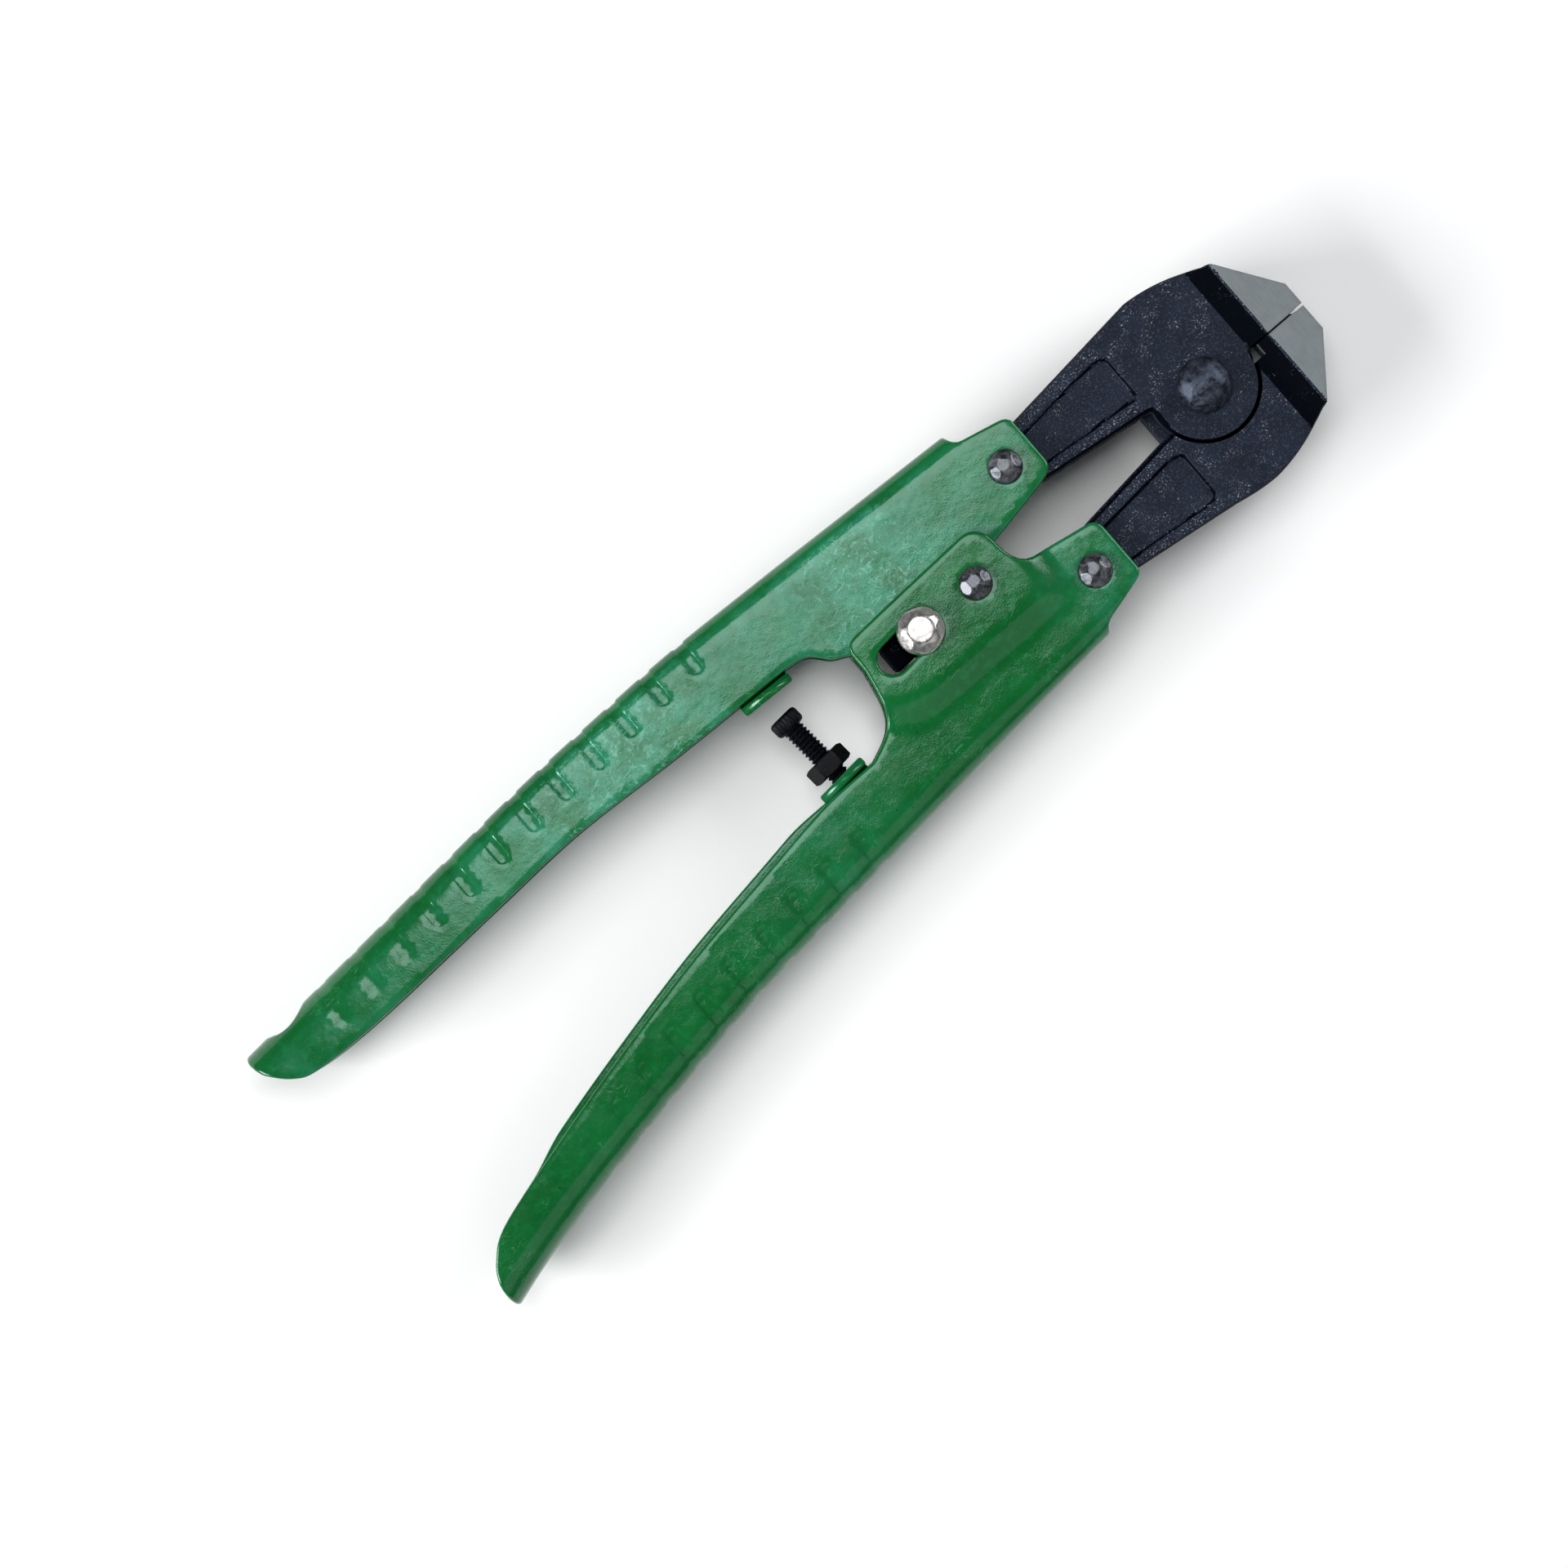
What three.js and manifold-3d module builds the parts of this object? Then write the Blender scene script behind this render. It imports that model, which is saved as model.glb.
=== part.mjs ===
// Small hand bolt cutters lying flat: two pressed-steel channel handles, two forged jaws, their
// rivets and pivot bolt, a sliding lock stud and an adjustable stop screw.
// Millimetres. +X points to the jaw tips, +Y to the upper handle, +Z away from the surface below.
// The origin is on the jaw pivot's axis, in the plane that the tool lies on.

import * as THREE from 'three';
import { mergeVertices } from 'three/addons/utils/BufferGeometryUtils.js';
import Module from 'manifold-3d';

const wasm = await Module();
wasm.setup();

// ---- driving dimensions --------------------------------------------------------------------

const MID_Z = 10.3;                 // height of the tool's middle plane above the surface
const SHEET = 1.6;                  // handle sheet thickness
const CHANNEL_HALF = 6.5;           // half the outer width of both handle channels
const LUG_HALF = 8.3;               // half the outer width across the lower handle's raised lugs
const BEND_R = 5.5;                 // outer radius of the long bends between web and flanges
const JOGGLE_RUN = 4.5;             // length of the slope between a flange and its raised lug

const ARM_HALF = 4.7;               // half thickness of the jaw arms
const HEAD_HALF = 4.8;              // half thickness of the jaw heads
const RIDGE_HALF = 6.4;             // half thickness at the ridge across the nose
const TIP_HALF = 1.5;               // half thickness at the front of the blades
const LAP_R = 9.6;                  // radius of each jaw's lap disc
const LAP_GAP = 0.15;               // half the gap between the two lap faces
const HEEL_END = -11.6;             // X of the heel that closes the slot between the arms
const HEEL_TOP = 2.3;               // Y of the heel's upper side
const EAR_ROOM = 4.9;               // half the clear width between a handle's ears

const HANDLE_PIVOT = new THREE.Vector2(-51.5, 0);
const UPPER_EAR = new THREE.Vector2(-34.7, 11.6);
const LOWER_EAR = new THREE.Vector2(-34.7, -11.6);
const STUD_REST = new THREE.Vector2(-63.7, 0.02);
const STOP_BASE = new THREE.Vector2(-89.9, -9.65);      // stop screw's axis at its tab
const STOP_TILT = THREE.MathUtils.degToRad(4);          // tilt of tab and screw about Z

const PIVOT_SHANK_R = 2.95;
const JAW_RIVET_R = 2.0;
const HANDLE_RIVET_R = 2.2;
const STUD_R = 2.5;
const SCREW_R = 1.9;
const RUNNING = 0.15;               // radial clearance of a turning fit
const OPEN_PIVOT_CLEARANCE = 0.35;  // radial clearance of the upper jaw on its rivet
const FACE_GAP = 0.05;              // gap between two faces that bear on each other

const ROUND_STEPS = 32;             // steps of a full circle

// ---- helpers -------------------------------------------------------------------------------

function solidOf(geometry) {
  const bare = geometry.clone();
  bare.deleteAttribute('normal');
  bare.deleteAttribute('uv');
  const merged = mergeVertices(bare, 1e-4);
  const index = merged.index.array;
  const kept = [];
  for (let i = 0; i < index.length; i += 3) {
    const [a, b, c] = [index[i], index[i + 1], index[i + 2]];
    if (a !== b && b !== c && c !== a) kept.push(a, b, c);
  }
  return new wasm.Manifold(new wasm.Mesh({
    numProp: 3,
    vertProperties: new Float32Array(merged.attributes.position.array),
    triVerts: new Uint32Array(kept),
  }));
}

function geometryOf(solid) {
  const mesh = solid.getMesh();
  const geometry = new THREE.BufferGeometry();
  const count = mesh.vertProperties.length / mesh.numProp;
  const position = new Float32Array(count * 3);
  for (let i = 0; i < count; i += 1) {
    for (let k = 0; k < 3; k += 1) position[3 * i + k] = mesh.vertProperties[i * mesh.numProp + k];
  }
  geometry.setAttribute('position', new THREE.BufferAttribute(position, 3));
  geometry.setIndex(new THREE.BufferAttribute(new Uint32Array(mesh.triVerts), 1));
  geometry.computeVertexNormals();
  return geometry;
}

// A plan shape stood up between two heights.
function prism(shape, low, high, curveSegments = 6) {
  const geometry = new THREE.ExtrudeGeometry(shape, {
    depth: high - low, bevelEnabled: false, curveSegments,
  });
  return solidOf(geometry.translate(0, 0, low));
}

function circleShape(centre, radius) {
  const shape = new THREE.Shape();
  shape.absarc(centre.x, centre.y, radius, 0, 2 * Math.PI, false);
  return shape;
}

function rod(centre, radius, low, high) {
  return prism(circleShape(centre, radius), low, high, ROUND_STEPS / 2);
}

function polygon(points) {
  return new THREE.Shape(points.map(([x, y]) => new THREE.Vector2(x, y)));
}

function vectors(points) {
  return points.map(([x, y]) => new THREE.Vector2(x, y));
}

// A turned piece: [radius, height] points from the bottom of the axis to its top, about +Z.
function turned(profile, steps = ROUND_STEPS) {
  return new THREE.LatheGeometry(vectors(profile), steps).rotateX(Math.PI / 2);
}

// [radius, height] points over a dome, from its rim up to the axis.
function domePoints(radius, base, height, steps = 5) {
  const points = [];
  for (let i = 1; i <= steps; i += 1) {
    const angle = (i / steps) * Math.PI / 2;
    points.push([i === steps ? 0 : radius * Math.cos(angle), base + height * Math.sin(angle)]);
  }
  return points;
}

// A section of [across, height] points, carried along stations of rising x without turning.
function carried(stations, section) {
  const positions = [];
  const index = [];
  const size = section.length;
  for (const station of stations) {
    for (const [across, height] of section) positions.push(station.x, station.y + across, height);
  }
  for (let i = 0; i + 1 < stations.length; i += 1) {
    for (let k = 0; k < size; k += 1) {
      const a = i * size + k;
      const b = i * size + ((k + 1) % size);
      index.push(a, b, b + size, a, b + size, a + size);
    }
  }
  const last = (stations.length - 1) * size;
  for (let k = 1; k + 1 < size; k += 1) {
    index.push(0, k + 1, k, last, last + k, last + k + 1);
  }
  const geometry = new THREE.BufferGeometry();
  geometry.setAttribute('position', new THREE.Float32BufferAttribute(positions, 3));
  geometry.setIndex(index);
  return solidOf(geometry);
}

// The section of a channel: a rectangle with its two web corners rounded. side is +1 for a web
// at the top and -1 for a web at the bottom; inset moves the web inwards.
function channelSection(side, half, radius, inset, reach) {
  const steps = 5;
  const points = [[-reach, half], [-reach, -half]];
  for (const corner of [-1, 1]) {
    for (let i = 0; i <= steps; i += 1) {
      const turn = (i / steps) * Math.PI / 2;
      const angle = corner < 0 ? turn - Math.PI / 2 : turn;
      const centre = corner * (half - radius);
      points.push([-inset - radius + radius * Math.cos(angle), centre + radius * Math.sin(angle)]);
    }
  }
  const sided = points.map(([across, height]) => [side * across, height]);
  return side > 0 ? sided : sided.reverse();
}

// ---- handles -------------------------------------------------------------------------------

// A folded channel: everything inside its plan outline, rounded along the web and hollowed.
function channel(webLine, side, outline) {
  const stations = new THREE.SplineCurve(vectors(webLine)).getPoints(28).reverse();
  const reach = 50;
  const outer = carried(stations, channelSection(side, CHANNEL_HALF, BEND_R, 0, reach));
  const hollow = carried(stations, channelSection(
    side, CHANNEL_HALF - SHEET, BEND_R - SHEET, SHEET, reach + 1));
  return { outer: outer.intersect(prism(outline, -CHANNEL_HALF - 1, CHANNEL_HALF + 1)), hollow };
}

// The ears stand clear of the web's bend here, so that a jaw's arm can turn between them.
function earRoom(side) {
  const room = polygon([[-38.9, 14], [-28, 14], [-28, 24], [-38.9, 24]]);
  const solid = prism(room, -EAR_ROOM, EAR_ROOM);
  return side > 0 ? solid : solid.mirror([0, 1, 0]);
}

// A tab folded across the channel's mouth, its bearing face at the given height above zero.
function bridgeTab(length, thickness) {
  const tab = new THREE.BoxGeometry(length, thickness, 2 * CHANNEL_HALF);
  return tab.translate(0, -thickness / 2, 0);
}

function upperHandleOutline() {
  const shape = new THREE.Shape();
  const foldRadius = 7.2;                       // the flange's round end about the handle pivot
  shape.moveTo(-39, 30);
  shape.lineTo(-198, 30);
  shape.lineTo(-198, 19.8);
  shape.splineThru(vectors([[-196.7, 16.1], [-193.5, 12.4], [-189, 10.6]]));
  shape.splineThru(vectors([[-176, 10.2], [-150, 11.3], [-130, 12.0], [-108, 10.8], [-85, 10.0]]));
  shape.splineThru(vectors([[-81, 9.2], [-78.2, 6.3], [-76, 5.1]]));
  shape.lineTo(-74.4, 4.2);
  shape.lineTo(-57.3, 4.2);
  shape.absarc(HANDLE_PIVOT.x, HANDLE_PIVOT.y, foldRadius,
    THREE.MathUtils.degToRad(144), THREE.MathUtils.degToRad(385), false);
  shape.lineTo(-33, 5.2);
  shape.lineTo(-30.6, 5.9);
  shape.quadraticCurveTo(-28.6, 6.4, -28.6, 8.2);
  shape.lineTo(-28.6, 16.2);
  shape.quadraticCurveTo(-28.6, 17.8, -30.2, 18.2);
  shape.lineTo(-37.6, 20);
  shape.quadraticCurveTo(-38.8, 20.6, -39, 22.5);
  return shape;
}

function upperHandle() {
  const webLine = [[-24, 21.6], [-39, 22.5], [-60, 23.6], [-80, 24.6], [-98, 25.3], [-115, 25.1],
    [-132, 24.6], [-150, 23.5], [-168, 22.3], [-185, 21.2], [-204, 19.9]];
  const { outer, hollow } = channel(webLine, 1, upperHandleOutline());
  const hangingHoleX = -188.6;
  const hangingHole = new THREE.CylinderGeometry(4, 4, 20, ROUND_STEPS);
  hangingHole.translate(hangingHoleX, 22, 0);
  const padFace = 8.2;
  const pad = bridgeTab(10, 2.2).rotateZ(Math.PI).translate(-90.2, padFace, 0);
  return outer.subtract(hollow)
    .subtract(earRoom(1))
    .subtract(solidOf(hangingHole))
    .add(solidOf(pad))
    .subtract(rod(HANDLE_PIVOT, HANDLE_RIVET_R + RUNNING, -LUG_HALF, LUG_HALF))
    .subtract(rod(UPPER_EAR, JAW_RIVET_R + RUNNING, -LUG_HALF, LUG_HALF));
}

function lowerHandleOutline() {
  const shape = new THREE.Shape();
  shape.moveTo(-39.2, -50);
  shape.lineTo(-190.2, -50);
  shape.lineTo(-190.2, -40.5);
  shape.splineThru(vectors([[-189.7, -36.8], [-187.6, -33.4], [-182.4, -29.8]]));
  shape.splineThru(vectors([[-167, -25.4], [-150, -21.2], [-130, -16.9], [-110, -13.8],
    [-95, -11.7], [-84, -11.5]]));
  shape.splineThru(vectors([[-79, -9], [-76.6, -5], [-75.2, 1]]));
  shape.lineTo(-75.2, 4.1);
  shape.quadraticCurveTo(-75.2, 6.5, -72.7, 6.6);
  shape.lineTo(-48.5, 7.6);
  shape.quadraticCurveTo(-44.9, 7.6, -44.4, 3.5);
  shape.quadraticCurveTo(-44.4, -2, -41, -2.9);
  shape.lineTo(-30.6, -4.8);
  shape.quadraticCurveTo(-28.7, -5.2, -28.7, -7);
  shape.lineTo(-28.7, -15.4);
  shape.quadraticCurveTo(-28.7, -17.1, -30.4, -17.5);
  shape.lineTo(-37.6, -19.6);
  shape.quadraticCurveTo(-39, -20.2, -39.2, -21.6);
  return shape;
}

// The flanges step outwards here, so that the lugs pass outside the upper handle's flanges.
function raisedLug(half) {
  const top = new THREE.Shape();
  top.moveTo(-95, -7.5);
  top.lineTo(-51, -7.5);
  top.quadraticCurveTo(-44.8, -7.5, -44.2, -1.5);
  top.lineTo(-44.2, 20);
  top.lineTo(-95, 20);
  const step = LUG_HALF - CHANNEL_HALF;
  const geometry = new THREE.ExtrudeGeometry(top, {
    depth: 2 * (half - step),
    bevelThickness: step,
    bevelSize: JOGGLE_RUN,
    bevelSegments: 1,
    curveSegments: 5,
  });
  return solidOf(geometry.translate(0, 0, step - half));
}

function slotShape(start, end, radius) {
  const direction = end.clone().sub(start).angle();
  const shape = new THREE.Shape();
  shape.absarc(end.x, end.y, radius, direction - Math.PI / 2, direction + Math.PI / 2, false);
  shape.absarc(start.x, start.y, radius, direction + Math.PI / 2, direction + 1.5 * Math.PI, false);
  return shape;
}

function lowerHandle() {
  const webLine = [[-24, -20.4], [-39, -21.4], [-54, -22.5], [-72, -24.1], [-90, -25.7], [-108, -27.3],
    [-124, -28.8], [-140, -31.2], [-156, -34.0], [-170, -36.8], [-184, -40.2], [-198, -44.6]];
  const outline = lowerHandleOutline();
  const { outer, hollow } = channel(webLine, -1, outline);
  const lugs = raisedLug(LUG_HALF).intersect(prism(outline, -LUG_HALF - 1, LUG_HALF + 1));
  const lugHollow = raisedLug(LUG_HALF - SHEET);
  const slot = slotShape(new THREE.Vector2(-70.3, -0.55), new THREE.Vector2(-62.8, 0.1), STUD_R + 0.2);
  const seat = bridgeTab(9.7, 2.2).rotateZ(STOP_TILT).translate(STOP_BASE.x, STOP_BASE.y, 0);
  const screwHole = new THREE.CylinderGeometry(SCREW_R + 0.1, SCREW_R + 0.1, 12, ROUND_STEPS);
  screwHole.rotateZ(STOP_TILT).translate(STOP_BASE.x, STOP_BASE.y, 0);
  const through = LUG_HALF + 1;
  return outer.add(lugs)
    .subtract(hollow)
    .subtract(earRoom(-1))
    .subtract(lugHollow)
    .add(solidOf(seat))
    .subtract(solidOf(screwHole))
    .subtract(prism(slot, -through, through, ROUND_STEPS / 4))
    .subtract(rod(HANDLE_PIVOT, HANDLE_RIVET_R + 0.1, -through, through))
    .subtract(rod(LOWER_EAR, JAW_RIVET_R + 0.1, -through, through));
}

// ---- jaws ----------------------------------------------------------------------------------

// Side view of both jaws, as a solid across the whole width: flat arms and head, a raised ridge
// across the nose, and ground faces sloping from the ridge to the blades' front.
function jawSideView() {
  const upper = [[-42, ARM_HALF], [-10.6, ARM_HALF], [-10, HEAD_HALF], [9.8, HEAD_HALF],
    [13.0, RIDGE_HALF], [13.8, RIDGE_HALF], [22.3, TIP_HALF]];
  const lower = upper.map(([x, z]) => [x, -z]).reverse();
  const geometry = new THREE.ExtrudeGeometry(polygon([...lower, ...upper]), {
    depth: 60, bevelEnabled: false,
  });
  return solidOf(geometry.rotateX(Math.PI / 2).translate(0, 30, 0));
}

function upperJawOutline() {
  const shape = new THREE.Shape();
  const armEnd = 5;
  shape.moveTo(22.3, -0.25);
  shape.lineTo(22.3, 4);
  shape.lineTo(14.1, 14.7);
  shape.quadraticCurveTo(7, 18.9, -1, 19.4);
  shape.lineTo(-28.3, 16.6);
  shape.lineTo(UPPER_EAR.x, 16.4);
  shape.absarc(UPPER_EAR.x, UPPER_EAR.y, armEnd, Math.PI / 2, 1.5 * Math.PI, false);
  shape.lineTo(-30, 5.2);
  shape.lineTo(-9.2, 2.4);
  shape.lineTo(-9.2, 0.5);
  shape.lineTo(9.9, 0.5);
  shape.lineTo(9.9, -0.35);
  shape.lineTo(20.3, -0.35);
  shape.lineTo(20.3, -0.25);
  return shape;
}

function lowerJawOutline() {
  const shape = new THREE.Shape();
  const armEnd = 5;
  shape.moveTo(22.2, -0.75);
  shape.lineTo(20.3, -0.75);
  shape.lineTo(20.3, -0.65);
  shape.lineTo(9.9, -0.65);
  shape.lineTo(9.9, -0.5);
  shape.lineTo(-9.2, -0.5);
  shape.lineTo(-9.2, -2.6);
  shape.lineTo(HEEL_END, -2.6);
  shape.lineTo(-30, -4.6);
  shape.absarc(LOWER_EAR.x, LOWER_EAR.y, armEnd, Math.PI / 2, 1.5 * Math.PI, false);
  shape.lineTo(-28.3, -16.2);
  shape.lineTo(-8, -19);
  shape.quadraticCurveTo(-3.5, -20, 0, -19.9);
  shape.quadraticCurveTo(7, -19.3, 13.7, -15.7);
  shape.lineTo(22.2, -5.9);
  return shape;
}

// A jaw is one side of the head with a half-thickness lap disc; the other jaw's disc turns in the
// round space that is cut from its other half. face is +1 where the disc is on the front half.
function jaw(outline, face, rivetHole) {
  const axis = new THREE.Vector2(0, 0);
  const height = RIDGE_HALF + 1;
  const disc = face > 0 ? rod(axis, LAP_R, LAP_GAP, height) : rod(axis, LAP_R, -height, -LAP_GAP);
  const room = LAP_R + 0.3;
  const space = face > 0 ? rod(axis, room, -height, LAP_GAP) : rod(axis, room, -LAP_GAP, height);
  return prism(outline, -height, height)
    .add(disc)
    .subtract(space)
    .intersect(jawSideView())
    .subtract(rod(axis, PIVOT_SHANK_R + RUNNING, -height, height))
    .subtract(rivetHole);
}

// The upper jaw's rear half has a notch in its arm, which the lower jaw's heel swings into as the
// jaws open.
function upperJaw() {
  const hole = rod(UPPER_EAR, JAW_RIVET_R + OPEN_PIVOT_CLEARANCE, -RIDGE_HALF, RIDGE_HALF);
  const reach = Math.hypot(HEEL_END, HEEL_TOP) + 0.3;
  const notch = new THREE.Shape();
  notch.moveTo(0, 0);
  notch.lineTo(-8.4, 4.8);
  notch.absarc(0, 0, reach, THREE.MathUtils.degToRad(152.5), THREE.MathUtils.degToRad(190), false);
  return jaw(upperJawOutline(), 1, hole).subtract(prism(notch, -RIDGE_HALF, LAP_GAP));
}

// The heel closes the end of the slot between the arms, in the rear half. The relief is a small
// pocket in the front half, behind the blades' root.
function lowerJaw() {
  const hole = rod(LOWER_EAR, JAW_RIVET_R + RUNNING, -RIDGE_HALF, RIDGE_HALF);
  const relief = polygon([[8, -2.8], [11.3, -2.8], [11.3, 0], [8, 0]]);
  const heel = polygon([[HEEL_END, -2.7], [-9, -2.7], [-9, HEEL_TOP], [HEEL_END, HEEL_TOP]]);
  return jaw(lowerJawOutline(), -1, hole)
    .subtract(prism(relief, -LAP_GAP, RIDGE_HALF + 1))
    .add(prism(heel, -ARM_HALF, -LAP_GAP));
}

// ---- rivets, bolt and stud -----------------------------------------------------------------

function pivotBolt() {
  const seat = HEAD_HALF + FACE_GAP;
  return turned([[0, -MID_Z], [PIVOT_SHANK_R, -MID_Z], [PIVOT_SHANK_R, seat], [4.8, seat],
    ...domePoints(4.8, seat, 3.9)]);
}

function pivotWasher() {
  const top = -HEAD_HALF - FACE_GAP;
  const bottom = top - 0.8;
  return turned([[3.1, bottom], [5.8, bottom], [5.8, top], [3.1, top], [3.1, bottom]]);
}

function hexShape(acrossFlats) {
  const shape = new THREE.Shape();
  const corner = acrossFlats / Math.sqrt(3);
  for (let i = 0; i < 6; i += 1) {
    const angle = i * Math.PI / 3;
    const point = [corner * Math.cos(angle), corner * Math.sin(angle)];
    if (i === 0) shape.moveTo(...point);
    else shape.lineTo(...point);
  }
  return shape;
}

function pivotNut() {
  const top = -HEAD_HALF - 0.8 - 2 * FACE_GAP;
  const centre = new THREE.Vector2(0, 0);
  return prism(hexShape(10), -MID_Z, top)
    .subtract(rod(centre, PIVOT_SHANK_R + 0.1, -MID_Z - 1, top + 1));
}

// A rivet with a domed head on each end; the rear head is flattened where the tool rests on it.
function rivet(shankRadius, headRadius, seat, frontHeight, rearHeight) {
  const front = domePoints(headRadius, seat, frontHeight);
  const rear = [[0, -seat - rearHeight], [0.62 * headRadius, -seat - rearHeight],
    [0.9 * headRadius, -seat - 0.6 * rearHeight], [headRadius, -seat]];
  return turned([...rear, [shankRadius, -seat], [shankRadius, seat], [headRadius, seat], ...front]);
}

function pivotBush() {
  const half = CHANNEL_HALF - SHEET - 0.1;
  const inner = HANDLE_RIVET_R + RUNNING;
  return turned([[inner, -half], [3.5, -half], [3.5, half], [inner, half], [inner, -half]]);
}

const STUD_SEAT = LUG_HALF + 0.2;

function lockStud() {
  return turned([[0, -MID_Z], [STUD_R, -MID_Z], [STUD_R, STUD_SEAT], [4.2, STUD_SEAT],
    [4.2, STUD_SEAT + 0.5], ...domePoints(4.2, STUD_SEAT + 0.5, 2.3)]);
}

function ring(inner, outer, low, high) {
  return turned([[inner, low], [outer, low], [outer, high], [inner, high], [inner, low]]);
}

// A torsion spring: a coil about the handle pivot and a straight leg to each handle's web.
function returnSpring() {
  const wireRadius = 0.65;
  const coilRadius = 4.55;
  const turns = 5.5;
  const pitch = 1.45;
  const stepsPerTurn = 14;
  const start = -turns * pitch / 2;
  const points = [new THREE.Vector3(-26, -19.4, start), new THREE.Vector3(-12, -10.6, start)];
  const count = turns * stepsPerTurn;
  for (let i = 0; i <= count; i += 1) {
    const angle = -Math.PI / 2 + (i / stepsPerTurn) * 2 * Math.PI;
    points.push(new THREE.Vector3(
      coilRadius * Math.cos(angle), coilRadius * Math.sin(angle), start + pitch * i / stepsPerTurn));
  }
  points.push(new THREE.Vector3(-12, 10.6, -start), new THREE.Vector3(-26, 19.4, -start));
  const wire = new THREE.Shape();
  wire.absarc(0, 0, wireRadius, 0, 2 * Math.PI, false);
  return new THREE.ExtrudeGeometry(wire, {
    steps: count + 14,
    extrudePath: new THREE.CatmullRomCurve3(points, false, 'centripetal'),
    curveSegments: 4,
    bevelEnabled: false,
  });
}

// ---- stop screw and its nut, along their own +Y --------------------------------------------

const SCREW_HEAD_BASE = 11.4;

function stopScrew() {
  const headTop = SCREW_HEAD_BASE + 2.9;
  const tip = SCREW_HEAD_BASE - 20;
  const headRadius = 2.8;
  const profile = [[0, tip], [SCREW_R - 0.5, tip], [SCREW_R, tip + 0.6], [SCREW_R, SCREW_HEAD_BASE],
    [headRadius, SCREW_HEAD_BASE + 0.3], [headRadius, headTop - 0.5], [headRadius - 0.5, headTop],
    [0, headTop]];
  return new THREE.LatheGeometry(vectors(profile), 24);
}

function stopLockNut() {
  const height = 3.2;
  const underside = 1.2;
  const corner = 7 / Math.sqrt(3);
  const blank = new THREE.CylinderGeometry(corner, corner, height, 6);
  const hole = new THREE.CylinderGeometry(SCREW_R + 0.1, SCREW_R + 0.1, height + 1, ROUND_STEPS);
  const middle = underside + height / 2;
  return solidOf(blank.translate(0, middle, 0)).subtract(solidOf(hole.translate(0, middle, 0)));
}

// ---- assembly ------------------------------------------------------------------------------

const finishes = {
  greenEnamel: { color: 0x1f7a3a, roughness: 0.35, metalness: 0 },
  blackOxide: { color: 0x23262c, roughness: 0.55, metalness: 0.6 },
  rivetSteel: { color: 0x4a4a50, roughness: 0.4, metalness: 0.9 },
  nickel: { color: 0xcfcbc2, roughness: 0.22, metalness: 1 },
  springSteel: { color: 0x6c6f74, roughness: 0.35, metalness: 1 },
};

function piece(name, shape, finish) {
  const geometry = shape.isBufferGeometry ? shape : geometryOf(shape);
  const mesh = new THREE.Mesh(geometry, new THREE.MeshStandardMaterial(finishes[finish]));
  mesh.name = name;
  return mesh;
}

const boltCutters = new THREE.Group();
boltCutters.name = 'bolt_cutters';

const middle = new THREE.Group();
middle.position.z = MID_Z;
boltCutters.add(middle);

middle.add(
  piece('lower_handle', lowerHandle(), 'greenEnamel'),
  piece('upper_handle', upperHandle(), 'greenEnamel'),
  piece('lower_jaw', lowerJaw(), 'blackOxide'),
  piece('upper_jaw', upperJaw(), 'blackOxide'),
  piece('jaw_pivot_bolt', pivotBolt(), 'blackOxide'),
  piece('jaw_pivot_washer', pivotWasher(), 'blackOxide'),
  piece('jaw_pivot_nut', pivotNut(), 'blackOxide'),
);

function placed(mesh, at) {
  mesh.position.set(at.x, at.y, 0);
  middle.add(mesh);
}

const earSeat = CHANNEL_HALF + FACE_GAP;
const lugSeat = LUG_HALF + FACE_GAP;
placed(piece('upper_jaw_rivet', rivet(JAW_RIVET_R, 3, earSeat, 2, 1.8), 'rivetSteel'), UPPER_EAR);
placed(piece('lower_jaw_rivet', rivet(JAW_RIVET_R, 3, earSeat, 2, 1.8), 'rivetSteel'), LOWER_EAR);
placed(piece('handle_pivot_rivet', rivet(HANDLE_RIVET_R, 2.9, lugSeat, 2, MID_Z - lugSeat), 'rivetSteel'),
  HANDLE_PIVOT);
placed(piece('handle_pivot_bush', pivotBush(), 'rivetSteel'), HANDLE_PIVOT);
placed(piece('return_spring', returnSpring(), 'springSteel'), HANDLE_PIVOT);
placed(piece('lock_stud', lockStud(), 'nickel'), STUD_REST);
placed(piece('lock_stud_sleeve', ring(STUD_R + 0.1, 3.2, -6.4, 6.4), 'blackOxide'), STUD_REST);
placed(piece('lock_stud_button', ring(STUD_R + 0.1, 4, -MID_Z, -STUD_SEAT), 'nickel'), STUD_REST);

const stop = new THREE.Group();
stop.position.set(STOP_BASE.x, STOP_BASE.y, 0);
stop.rotation.z = STOP_TILT;
stop.add(
  piece('stop_screw', stopScrew(), 'blackOxide'),
  piece('stop_lock_nut', stopLockNut(), 'blackOxide'),
);
middle.add(stop);

export default boltCutters;
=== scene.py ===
"""Bolt cutters: the visible model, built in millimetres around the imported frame."""
import math
import random

import bpy
import numpy as np
from mathutils import Matrix, Vector, noise
from mathutils.geometry import delaunay_2d_cdt
from mathutils.kdtree import KDTree


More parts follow.
